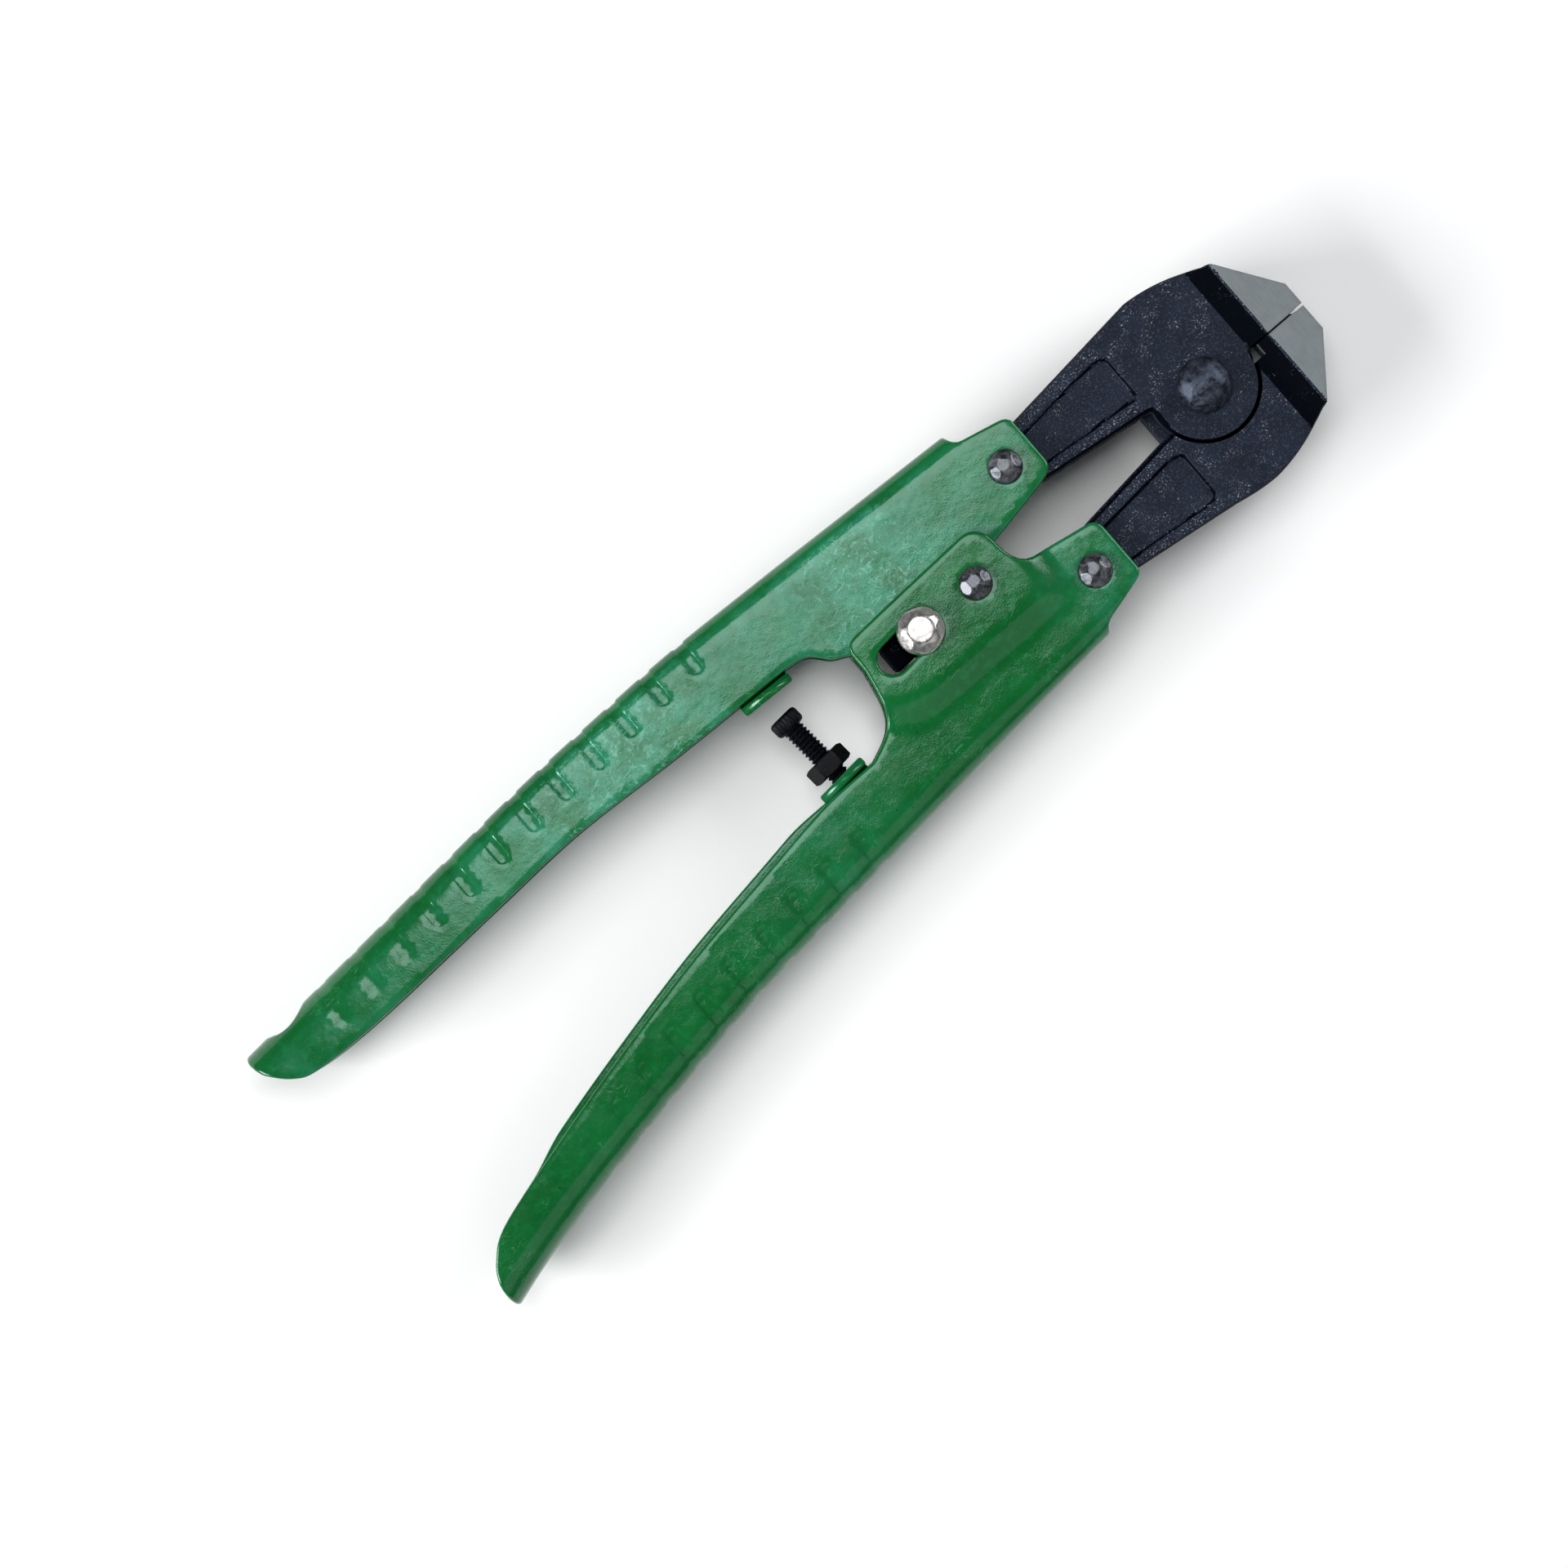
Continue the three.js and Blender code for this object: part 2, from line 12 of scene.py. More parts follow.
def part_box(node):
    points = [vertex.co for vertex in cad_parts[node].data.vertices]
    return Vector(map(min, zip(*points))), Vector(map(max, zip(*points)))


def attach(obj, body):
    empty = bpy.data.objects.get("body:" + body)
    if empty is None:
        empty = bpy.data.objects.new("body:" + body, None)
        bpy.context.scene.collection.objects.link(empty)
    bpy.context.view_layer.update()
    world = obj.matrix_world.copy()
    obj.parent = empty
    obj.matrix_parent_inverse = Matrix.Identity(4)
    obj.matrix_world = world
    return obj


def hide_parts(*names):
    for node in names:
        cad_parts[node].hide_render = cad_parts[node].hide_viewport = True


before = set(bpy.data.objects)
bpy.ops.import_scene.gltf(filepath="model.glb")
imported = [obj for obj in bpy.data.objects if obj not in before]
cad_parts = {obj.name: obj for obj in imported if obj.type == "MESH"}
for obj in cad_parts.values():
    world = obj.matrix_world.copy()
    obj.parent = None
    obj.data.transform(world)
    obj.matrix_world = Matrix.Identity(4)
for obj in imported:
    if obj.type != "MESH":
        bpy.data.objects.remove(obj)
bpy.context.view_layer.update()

MM = 0.001


def middle_of(node):
    """The middle of a CAD node's box, in millimetres."""
    low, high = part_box(node)
    return [(low[i] + high[i]) / 2 / MM for i in range(3)]


# Places taken from the frame, in millimetres.
HANDLE_PIVOT = middle_of("handle_pivot_bush")
UPPER_EAR = middle_of("upper_jaw_rivet")
LOWER_EAR = middle_of("lower_jaw_rivet")
STUD = middle_of("lock_stud_sleeve")
MID_Z = HANDLE_PIVOT[2]

SHEET = 1.6
CHANNEL_HALF = 6.5
LUG_HALF = 8.3
HEAD_HALF = 4.8
ARM_HALF = 4.7
RIDGE_HALF = 6.4
TIP_HALF = 1.5
LAP_R = 9.6
TAU = 2 * math.pi


# ---- outlines ----


def arc(cx, cy, radius, start, end, steps=None):
    """Points round an arc, angles in degrees."""
    steps = steps or max(4, int(abs(end - start) / 6))
    angles = np.radians(np.linspace(start, end, steps + 1))
    return [(cx + radius * math.cos(a), cy + radius * math.sin(a)) for a in angles]


def bend(start, control, end, steps=10):
    """A quadratic curve that rounds a corner."""
    t = np.linspace(0, 1, steps + 1)[:, None]
    return list(map(tuple, (1 - t) ** 2 * start + 2 * t * (1 - t) * control + t * t * end))


def smooth_line(points, steps=14):
    """A Catmull-Rom curve through points."""
    ends = np.array([points[0], *points, points[-1]], float)
    t = np.linspace(0, 1, steps, endpoint=False)[:, None]
    out = []
    for p0, p1, p2, p3 in zip(ends, ends[1:], ends[2:], ends[3:]):
        curve = 2 * p1 + (p2 - p0) * t + (2 * p0 - 5 * p1 + 4 * p2 - p3) * t ** 2
        out += map(tuple, 0.5 * (curve + (3 * p1 - p0 - 3 * p2 + p3) * t ** 3))
    return out + [tuple(points[-1])]


def resampled(points, step):
    """The same closed line with points at equal steps; corners over 22 degrees are kept."""
    points = [np.array(p, float) for p in points]
    points += points[:2]
    out = []
    run = []
    for before, at, after in zip(points, points[1:], points[2:]):
        u, v = at - before, after - at
        if np.hypot(*u) < 1e-6:
            continue
        run.append(before)
        size = np.hypot(*u) * np.hypot(*v)
        if np.hypot(*v) > 1e-6 and float(u @ v) / size < math.cos(math.radians(22)):
            out += even_steps(run + [at], step)
            run = []
    if run:
        out += even_steps(run + [points[-2]], step)
    return np.array(out)


def even_steps(run, step):
    """Points along one smooth run, without its last point."""
    run = np.array(run)
    total = np.concatenate([[0], np.cumsum(np.hypot(*(run[1:] - run[:-1]).T))])
    count = max(1, round(total[-1] / step))
    at = np.linspace(0, total[-1], count, endpoint=False)
    return list(np.stack([np.interp(at, total, run[:, k]) for k in range(2)], axis=1))


def signed_area(loop):
    x, y = loop[:, 0], loop[:, 1]
    return 0.5 * float(np.sum(x * np.roll(y, -1) - np.roll(x, -1) * y))


def turned_as(loop, anticlockwise):
    return loop if (signed_area(loop) > 0) == anticlockwise else loop[::-1].copy()


def unit(ways):
    """Rows of directions, each made one long."""
    return ways / np.maximum(np.linalg.norm(ways, axis=1), 1e-12)[:, None]


def left_of(loop, distance):
    """The loop moved to its left by a distance."""
    way = unit(unit(np.roll(loop, -1, axis=0) - loop) + unit(loop - np.roll(loop, 1, axis=0)))
    return loop + np.stack([-way[:, 1], way[:, 0]], axis=1) * distance


def inside(points, loops):
    """Even-odd test of many points against closed loops."""
    result = np.zeros(len(points), bool)
    px, py = points[:, 0], points[:, 1]
    for loop in loops:
        for a, b in zip(loop, np.roll(loop, -1, axis=0)):
            if a[1] == b[1]:
                continue
            span = (a[1] > py) != (b[1] > py)
            cross = a[0] + (py - a[1]) * (b[0] - a[0]) / (b[1] - a[1])
            result ^= span & (px < cross)
    return result


def distance_to(points, loops, closed=True):
    """The distance of each point from the nearest line."""
    best = np.full(len(points), 1e9)
    for loop in loops:
        for a, b in zip(loop, np.roll(loop, -1, axis=0) if closed else loop[1:]):
            ab = b - a
            t = np.clip(((points - a) @ ab) / max(float(ab @ ab), 1e-12), 0, 1)
            gap = points - a - t[:, None] * ab
            best = np.minimum(best, np.einsum("ij,ij->i", gap, gap))
    return np.sqrt(best)


def filled(loops, step, rings, lines=(), dots=()):
    """Fills loops (outer anticlockwise, holes clockwise) with a fine, even triangle mesh.

    rings are the depths of extra rows of points along the edges, lines are kept as edges and
    dots as points. Returns the points, the triangles and each point's distance from the edge."""
    loops = [turned_as(loop, i == 0) for i, loop in enumerate(loops)]
    points = []
    edges = []

    def add_row(row, closed):
        first = len(points)
        points.extend(Vector((float(x), float(y))) for x, y in row)
        count = len(row)
        pairs = range(count if closed else count - 1)
        edges.extend((first + i, first + (i + 1) % count) for i in pairs)

    for loop in loops:
        add_row(loop, True)
        for depth in rings:
            add_row(left_of(loop, depth), True)
    for line in lines:
        add_row(line, False)
    low = loops[0].min(axis=0)
    high = loops[0].max(axis=0)
    row_step = step * 0.866
    grid = np.array([(x, y) for i, y in enumerate(np.arange(low[1], high[1], row_step))
                     for x in np.arange(low[0] + (i % 2) * step / 2, high[0], step)])
    grid = grid[inside(grid, loops)]
    grid = grid[distance_to(grid, loops) > max(rings) + step * 0.45]
    grid = grid[distance_to(grid, lines, closed=False) > step * 0.4]
    if len(dots):
        dots = np.array(dots)
        dots = dots[inside(dots, loops)]
        dots = dots[distance_to(dots, loops) > max(rings) + 0.1]
        tree = KDTree(len(dots))
        for i, (x, y) in enumerate(dots):
            tree.insert((x, y, 0), i)
        tree.balance()
        grid = np.array([g for g in grid if tree.find((g[0], g[1], 0))[2] > step * 0.4])
        points.extend(Vector((float(x), float(y))) for x, y in dots)
    points.extend(Vector((float(x), float(y))) for x, y in grid)
    verts, _, faces, *_ = delaunay_2d_cdt(points, edges, [], 0, 1e-5)
    flat = np.array([(v.x, v.y) for v in verts])
    tris = np.array([f for f in faces if len(f) == 3])
    tris = tris[inside(flat[tris].mean(axis=1), loops)]
    used = np.unique(tris)
    renumber = np.zeros(len(flat), int)
    renumber[used] = np.arange(len(used))
    flat = flat[used]
    return flat, renumber[tris], distance_to(flat, loops)


def boundary_edges(tris):
    """Directed edges that only one triangle has."""
    edges = {edge: True for a, b, c in tris for edge in ((a, b), (b, c), (c, a))}
    return [edge for edge in edges if (edge[1], edge[0]) not in edges]


def two_sided(tris, count):
    """The triangles of one face, and of its turned copy whose points come count later."""
    return [tuple(t) for t in tris] + [(a + count, c + count, b + count) for a, b, c in tris]


def step_up(value):
    """A smooth step from 0 to 1 as value goes from 0 to 1."""
    t = np.clip(value, 0, 1)
    return t * t * (3 - 2 * t)


def ramp_up(value, ease=0.33):
    """A straight ramp from 0 to 1 with short curves at its ends."""
    t = np.clip(value, 0, 1)
    scale = 2 * ease * (1 - ease)
    middle = (t - ease / 2) / (1 - ease)
    return np.where(t < ease, t * t / scale, np.where(t > 1 - ease, 1 - (1 - t) ** 2 / scale, middle))


def rounding(distance, radius):
    """How far a rounded edge has dropped at a distance from the edge."""
    inner = np.clip(1 - distance / radius, 0, 1)
    return radius * (1 - np.sqrt(1 - inner ** 2))


# ---- meshes ----


def add_object(name, verts, faces, materials, face_slots=None, crease=None, flat=False):
    """Makes an object from points in millimetres. Edges sharper than the crease angle, in
    degrees, stop its smooth shading."""
    mesh = bpy.data.meshes.new(name)
    mesh.from_pydata([tuple(float(c) * MM for c in v) for v in verts], [], [tuple(f) for f in faces])
    for material in materials:
        mesh.materials.append(material)
    if face_slots is not None:
        mesh.polygons.foreach_set("material_index", np.array(face_slots, dtype=np.int32))
    mesh.polygons.foreach_set("use_smooth", np.full(len(mesh.polygons), not flat))
    mesh.update()
    if crease:
        mesh.set_sharp_from_angle(angle=math.radians(crease))
    obj = bpy.data.objects.new(name, mesh)
    bpy.context.scene.collection.objects.link(obj)
    return obj


def vertex_normals(verts, tris):
    normals = np.zeros_like(verts)
    a, b, c = (verts[tris[:, k]] for k in range(3))
    for k in range(3):
        np.add.at(normals, tris[:, k], np.cross(b - a, c - a))
    return unit(normals)


def set_wear_and_sheen(obj, amounts):
    """Stores how worn each point is, and where the enamel's pale painted sheen goes, for the materials to
    read.
    """
    layer = obj.data.attributes.new("wear", "FLOAT", "POINT")
    layer.data.foreach_set("value", np.array(amounts, dtype=np.float32))


def merged(pieces):
    """Several (verts, faces) shells as one pair."""
    verts = []
    faces = []
    for piece_verts, piece_faces in pieces:
        base = len(verts)
        verts += [tuple(v) for v in piece_verts]
        faces += [tuple(i + base for i in f) for f in piece_faces]
    return verts, faces


def ring(radius, level, steps):
    """A level ring of points. The radius is a number, or a function of the angle."""
    points = []
    for i in range(steps):
        angle = TAU * i / steps
        reach = radius(angle) if callable(radius) else radius
        points.append((reach * math.cos(angle), reach * math.sin(angle), level))
    return points


def shell(rings, looped=False, capped=False):
    """A shell through rings of points. A ring of one point closes an end. A looped shell joins
    its last ring to its first, and a capped one has a flat face at each end."""
    verts = []
    rows = []
    for points in rings:
        rows.append(range(len(verts), len(verts) + len(points)))
        verts += [tuple(point) for point in points]
    faces = []
    for a, b in zip(rows, rows[1:] + (rows[:1] if looped else [])):
        size = max(len(a), len(b))
        for i in range(size):
            j = (i + 1) % size
            if len(a) == 1:
                faces.append((a[0], b[j], b[i]))
            elif len(b) == 1:
                faces.append((a[i], a[j], b[0]))
            else:
                faces.append((a[i], a[j], b[j], b[i]))
    if capped:
        faces += [tuple(reversed(rows[0])), tuple(rows[-1])]
    return verts, faces


def turned(profile, at, steps=64, facets=()):
    """A turned shell about the upright line through at, from (radius, height) points that are
    relative to the middle plane. facets are (direction, offset) planes that flatten it."""
    verts, faces = shell([ring(radius, level, steps if radius else 1) for radius, level in profile])
    verts = np.array(verts)
    for way, offset in facets:
        way = np.array(way)
        over = np.maximum(verts @ way - offset, 0)
        verts = verts - over[:, None] * way
    return verts + (at[0], at[1], MID_Z), faces


def turned_piece(name, profile, at, material, steps=64, facets=(), crease=35):
    """A whole turned object."""
    verts, faces = turned(profile, at, steps, facets)
    return add_object(name, verts, faces, [material], crease=crease)


def dome(radius, base, height, shoulder, steps=20):
    """(radius, height) points over a dome, from its rim to the axis."""
    points = [(radius, base), (radius, base + shoulder)]
    for i in range(1, steps):
        angle = i / steps * math.pi / 2
        points.append((radius * math.cos(angle), base + shoulder + (height - shoulder) * math.sin(angle)))
    return points + [(0, base + height)]


def dome_flat(turn, tilt, radius, base, height, depth):
    """The plane of a flat at some angle and tilt, cut to some depth into a dome."""
    across = math.sin(tilt)
    way = (across * math.cos(turn), across * math.sin(turn), math.cos(tilt))
    return way, base * way[2] + math.hypot(radius * across, height * way[2]) - depth


def hammer_flats(seed, radius, base, height, count, depth):
    """Planes that cut flats into a dome: one near the top and a ring of uneven ones about it."""
    rng = random.Random(seed)
    flats = []
    for i in range(count + 1):
        turn = TAU * (i + rng.uniform(-0.25, 0.25)) / count
        tilt = rng.uniform(0.5, 0.72)
        if i == count:
            turn, tilt = math.radians(110), 0.14
        flats.append(dome_flat(turn, tilt, radius, base, height, depth * rng.uniform(0.7, 1.3)))
    return flats


# ---- materials ----


class Look:
    """A small builder for one procedural material. Lengths are in millimetres."""

    def __init__(self, name, **values):
        self.material = bpy.data.materials.new(name)
        self.material.use_nodes = True
        self.tree = self.material.node_tree
        self.shader = self.tree.nodes["Principled BSDF"]
        for key, value in values.items():
            self.put(self.shader, key.replace("_", " "), value)
        metres = self.node("TexCoord", "Object", {})
        self.place = self.node("VectorMath", 0, {0: metres, "Scale": 1 / MM}, operation="SCALE")

    def put(self, node, socket, value):
        """Links an output to a socket, or sets the socket to a number or a colour."""
        target = node.inputs[socket]
        if isinstance(value, bpy.types.NodeSocket):
            self.tree.links.new(value, target)
        elif isinstance(value, tuple):
            target.default_value = (*value, 1.0) if len(target.default_value) == 4 else value
        else:
            target.default_value = value

    def node(self, kind, output, sockets, **settings):
        """Adds a node with its settings and input sockets, and gives one of its outputs."""
        node = self.tree.nodes.new("ShaderNode" + kind)
        for name, value in settings.items():
            setattr(node, name, value)
        for socket, value in sockets.items():
            self.put(node, socket, value)
        return node.outputs[output]

    def stretched(self, angle, along, across):
        """Coordinates turned about Z and squeezed, for scratches and grinding lines."""
        sockets = {"Vector": self.place, "Rotation": (0, 0, math.radians(angle)), "Scale": (along, across, 1)}
        return self.node("Mapping", 0, sockets, vector_type="TEXTURE")

    def noise(self, size, detail=3.0, rough=0.55, place=None, distortion=0.0):
        """Noise whose blotches are about size millimetres across."""
        sockets = {"Vector": place or self.place, "Scale": 1 / size, "Detail": detail}
        sockets |= {"Roughness": rough, "Distortion": distortion}
        return self.node("TexNoise", "Fac", sockets)

    def span(self, value, low, high, to_low=0.0, to_high=1.0):
        """A smooth step from to_low to to_high as value goes from low to high."""
        sockets = {"Value": value, "From Min": low, "From Max": high, "To Min": to_low, "To Max": to_high}
        return self.node("MapRange", "Result", sockets, interpolation_type="SMOOTHSTEP")

    def math(self, operation, a, b):
        return self.node("Math", 0, {0: a, 1: b}, operation=operation)

    def mix(self, factor, a, b):
        """A colour between a and b."""
        return self.node("Mix", 2, {0: factor, 6: a, 7: b}, data_type="RGBA")

    def tone(self, value, low, high, a, b):
        """A colour that goes from a to b as value goes from low to high."""
        return self.mix(self.span(value, low, high), a, b)

    def wear(self):
        """How worn the surface is, and on the handles where the pale painted sheen goes, as stored on the
        mesh.
        """
        return self.node("Attribute", "Fac", {}, attribute_name="wear")

    def worn_specks(self, patches, specks):
        """Small bright specks in broad patches and where the surface is worn."""
        return self.math("MULTIPLY", specks, self.math("MAXIMUM", patches, self.wear()))

    def finished(self, colour, roughness, *bumps):
        """The material, with its colour, roughness and (height, depth in millimetres) bumps."""
        self.put(self.shader, "Base Color", colour)
        self.put(self.shader, "Roughness", roughness)
        last = {}
        for height, depth in bumps:
            sockets = {"Strength": 1.0, "Distance": depth * MM, "Height": height}
            last = {"Normal": self.node("Bump", "Normal", sockets | last)}
        self.put(self.shader, "Normal", last["Normal"])
        return self.material


def green_enamel():
    """Glossy enamel with orange peel, pale scuffs in patches, and a pale painted sheen over the worn flat
    faces.
    """
    look = Look("green_enamel", Specular_IOR_Level=0.48, Specular_Tint=(0.75, 0.98, 0.95))
    paint = look.tone(look.noise(14, 2), 0.35, 0.65, (0.0014, 0.086, 0.014), (0.0026, 0.108, 0.021))
    paint = look.tone(look.noise(1.6, 4, 0.6), 0.45, 0.8, paint, (0.005, 0.130, 0.030))
    # Pale haze over the worn flat faces: dust, and painted sheen standing in for the overhead softbox's
    # reflection.
    dust_and_sheen = look.math("MULTIPLY", look.wear(), look.span(look.noise(6, 5, 0.7), 0.33, 0.66, 0.04, 0.5))
    paint = look.mix(dust_and_sheen, paint, (0.045, 0.33, 0.22))
    patches = look.span(look.noise(11, 3, 0.6), 0.50, 0.62)
    strokes_a = look.span(look.noise(0.9, 4, 0.7, look.stretched(14, 4, 0.9), 2.2), 0.58, 0.67)
    strokes_b = look.span(look.noise(0.9, 4, 0.7, look.stretched(-52, 2.2, 0.9), 2.6), 0.59, 0.68)
    # Where the wear and painted sheen mask is strongest: it sets both the scuffs and the painted sheen
    # blotches.
    strong_wear_and_sheen = look.span(look.wear(), 0.5, 1.0)
    amount = look.math("ADD", look.math("MULTIPLY", patches, 0.3), strong_wear_and_sheen)
    # Pale blotches in the haze: painted sheen.
    sheen_blotches = look.span(look.noise(1.5, 5, 0.75, distortion=1.2), 0.52, 0.64, 0.0, 0.6)
    paint = look.mix(look.math("MULTIPLY", sheen_blotches, strong_wear_and_sheen), paint, (0.16, 0.42, 0.31))
    scuffs = look.math("MULTIPLY", look.math("MAXIMUM", strokes_a, strokes_b), amount)
    colour = look.mix(look.math("MULTIPLY", scuffs, 0.6), paint, (0.26, 0.52, 0.38))
    colour = look.tone(look.noise(0.9, 2, 0.5), 0.73, 0.76, colour, (0.004, 0.04, 0.012))
    rough = look.span(look.noise(5, 4, 0.65), 0.3, 0.75, 0.095, 0.20)
    return look.finished(
        colour,
        look.math("ADD", rough, look.math("MULTIPLY", scuffs, 0.2)),
        (look.noise(5.5, 2), 0.07),
        (look.noise(0.9, 2, 0.5), 0.016),
        (look.math("SUBTRACT", look.noise(0.3, 2), scuffs), 0.012),
    )


def shade_black():
    """Painted shade for the steep forged sides, the band behind the blades and the lap's cut walls: the
    blackened steel drawn much darker than the flat faces, with worn specks.
    """
    look = Look("shade_black", Specular_IOR_Level=0.02)
    grain = look.noise(0.4, 4, 0.7)
    colour = look.tone(grain, 0.45, 0.75, (0.0006, 0.0011, 0.0032), (0.0028, 0.0036, 0.0075))
    patches = look.span(look.noise(2.5, 3, 0.6), 0.56, 0.66)
    worn = look.worn_specks(patches, look.span(look.noise(0.3, 3, 0.7), 0.60, 0.70))
    colour = look.mix(look.math("MULTIPLY", worn, 0.7), colour, (0.16, 0.16, 0.20))
    rough = look.span(grain, 0.3, 0.7, 0.5, 0.75)
    return look.finished(colour, rough, (grain, 0.05), (look.noise(0.16, 2), 0.012))


def forged_black():
    """Blackened forged steel with a fine grain, rubbed bright in specks."""
    look = Look("forged_black", Specular_IOR_Level=0.2, Specular_Tint=(0.75, 0.87, 1.0))
    grain = look.noise(0.38, 4, 0.72)
    colour = look.tone(look.noise(5, 3), 0.35, 0.65, (0.003, 0.005, 0.013), (0.0065, 0.0095, 0.021))
    colour = look.tone(grain, 0.5, 0.68, colour, (0.036, 0.045, 0.068))
    patches = look.span(look.noise(3.2, 3, 0.6), 0.5, 0.62)
    worn = look.worn_specks(patches, look.span(look.noise(0.32, 3, 0.7), 0.57, 0.68))
    return look.finished(
        look.mix(worn, colour, (0.28, 0.31, 0.37)),
        look.span(grain, 0.3, 0.7, 0.42, 0.68),
        (look.noise(2.6, 3, 0.55), 0.10),
        (grain, 0.09),
        (look.noise(0.16, 2), 0.015),
    )


def ground_steel():
    """The blades' ground faces, with grinding lines across them."""
    look = Look("ground_steel", Metallic=0.3, Specular_IOR_Level=0.4)
    lines = look.noise(0.4, 4, 0.7, look.stretched(90, 6, 0.18))
    colour = look.tone(look.noise(3, 3), 0.3, 0.7, (0.090, 0.108, 0.115), (0.122, 0.142, 0.149))
    colour = look.tone(lines, 0.35, 0.7, colour, (0.18, 0.203, 0.211))
    rough = look.span(lines, 0.3, 0.7, 0.42, 0.6)
    return look.finished(colour, rough, (lines, 0.010), (look.noise(0.25, 3), 0.006))


def hammered_steel(name, dark, light, roughness):
    """Rivet heads: blotchy dark steel with bright specks."""
    look = Look(name, Metallic=0.85)
    blotch = look.noise(1.3, 4, 0.65, distortion=0.4)
    specks = look.span(look.noise(0.3, 3, 0.7), 0.66, 0.74)
    colour = look.tone(blotch, 0.36, 0.68, dark, light)
    return look.finished(
        look.mix(look.math("MULTIPLY", specks, 0.6), colour, (0.5, 0.5, 0.54)),
        look.span(blotch, 0.35, 0.65, roughness, roughness + 0.22),
        (look.noise(0.9, 3, 0.6), 0.012),
        (look.noise(0.2, 2), 0.006),
    )


def nickel():
    """Bright plating with faint waves."""
    look = Look("nickel_plate", Metallic=1.0)
    return look.finished(
        look.tone(look.noise(1.4, 3), 0.35, 0.7, (0.64, 0.61, 0.58), (0.42, 0.41, 0.40)),
        look.span(look.noise(0.9, 4, 0.6), 0.35, 0.7, 0.22, 0.36),
        (look.noise(1.2, 2), 0.02),
        (look.noise(0.25, 2), 0.003),
    )


def black_oxide():
    """The screw's and nuts' near-black finish."""
    look = Look("black_oxide", Specular_IOR_Level=0.1)
    return look.finished(
        look.tone(look.noise(0.8, 3), 0.4, 0.7, (0.0010, 0.0012, 0.0026), (0.0038, 0.0040, 0.0070)),
        look.span(look.noise(0.5, 3), 0.3, 0.7, 0.26, 0.42),
        (look.noise(0.35, 3), 0.015),
    )


def spring_wire():
    """Plain drawn wire."""
    look = Look("spring_wire", Metallic=0.9)
    return look.finished(
        look.tone(look.noise(1.1, 3), 0.4, 0.7, (0.16, 0.16, 0.17), (0.34, 0.34, 0.36)),
        look.span(look.noise(0.7, 3), 0.3, 0.7, 0.25, 0.45),
        (look.noise(0.3, 3), 0.01),
    )


def floor_paper():
    """Plain pale paper."""
    look = Look("floor_paper")
    colour = look.mix(look.noise(60, 3), (0.86, 0.86, 0.86), (0.9, 0.9, 0.9))
    return look.finished(colour, 0.9, (look.noise(1.5, 3), 0.02))


GREEN = green_enamel()
FORGED = forged_black()
SHADE_BLACK = shade_black()
GROUND = ground_steel()
GUNMETAL = hammered_steel("gunmetal", (0.045, 0.050, 0.060), (0.17, 0.175, 0.19), 0.24)
PIVOT_BLACK = hammered_steel("pivot_black", (0.018, 0.024, 0.038), (0.075, 0.088, 0.120), 0.36)
NICKEL = nickel()
OXIDE = black_oxide()
WIRE = spring_wire()
JAW_LOOKS = [FORGED, GROUND, SHADE_BLACK]


# ---- handles ----


class Channel:
    """A folded channel. The sheet is laid out flat in (x, w), w being the distance over the
    section from the middle of the web, positive on the front flange."""

    def __init__(self, web_line, side, grip_radius):
        line = np.array(smooth_line(web_line))
        order = np.argsort(line[:, 0])
        self.web_x = line[order, 0]
        self.web_y = line[order, 1]
        self.side = side
        self.grip_radius = grip_radius

    def web(self, x):
        return np.interp(x, self.web_x, self.web_y)

    def radius(self, x):
        """The bend's outer radius: the section grows rounder towards the handle's end."""
        ear_radius = 3.7
        tail_radius = 6.2
        along_grip = (self.grip_radius - ear_radius) * step_up((-x - 45) / 30)
        return ear_radius + along_grip + (tail_radius - self.grip_radius) * step_up((-x - 125) / 60)

    def lay_out(self, points):
        """Plan points on the front flange as (x, w)."""
        x, y = np.array(points, float).T
        r = self.radius(x)
        depth = np.maximum(self.side * (self.web(x) - y), 0)
        round_bend = r * np.arccos(1 - np.minimum(depth / r, 1))
        return np.stack([x, CHANNEL_HALF - r + round_bend + np.maximum(depth - r, 0)], axis=1)

    def fold(self, flat):
        """Points of the folded outer face, relative to the middle plane."""
        x, w = flat[:, 0], flat[:, 1]
        r = self.radius(x)
        half_flat = CHANNEL_HALF - r
        over = np.abs(w) - half_flat
        angle = np.clip(over / r, 0, math.pi / 2)
        depth = r * (1 - np.cos(angle)) + np.maximum(over - r * math.pi / 2, 0)
        z = np.where(over < 0, np.abs(w), half_flat + r * np.sin(angle))
        y = self.web(x) - self.side * depth
        return np.stack([x, y, np.sign(w) * z], axis=1)


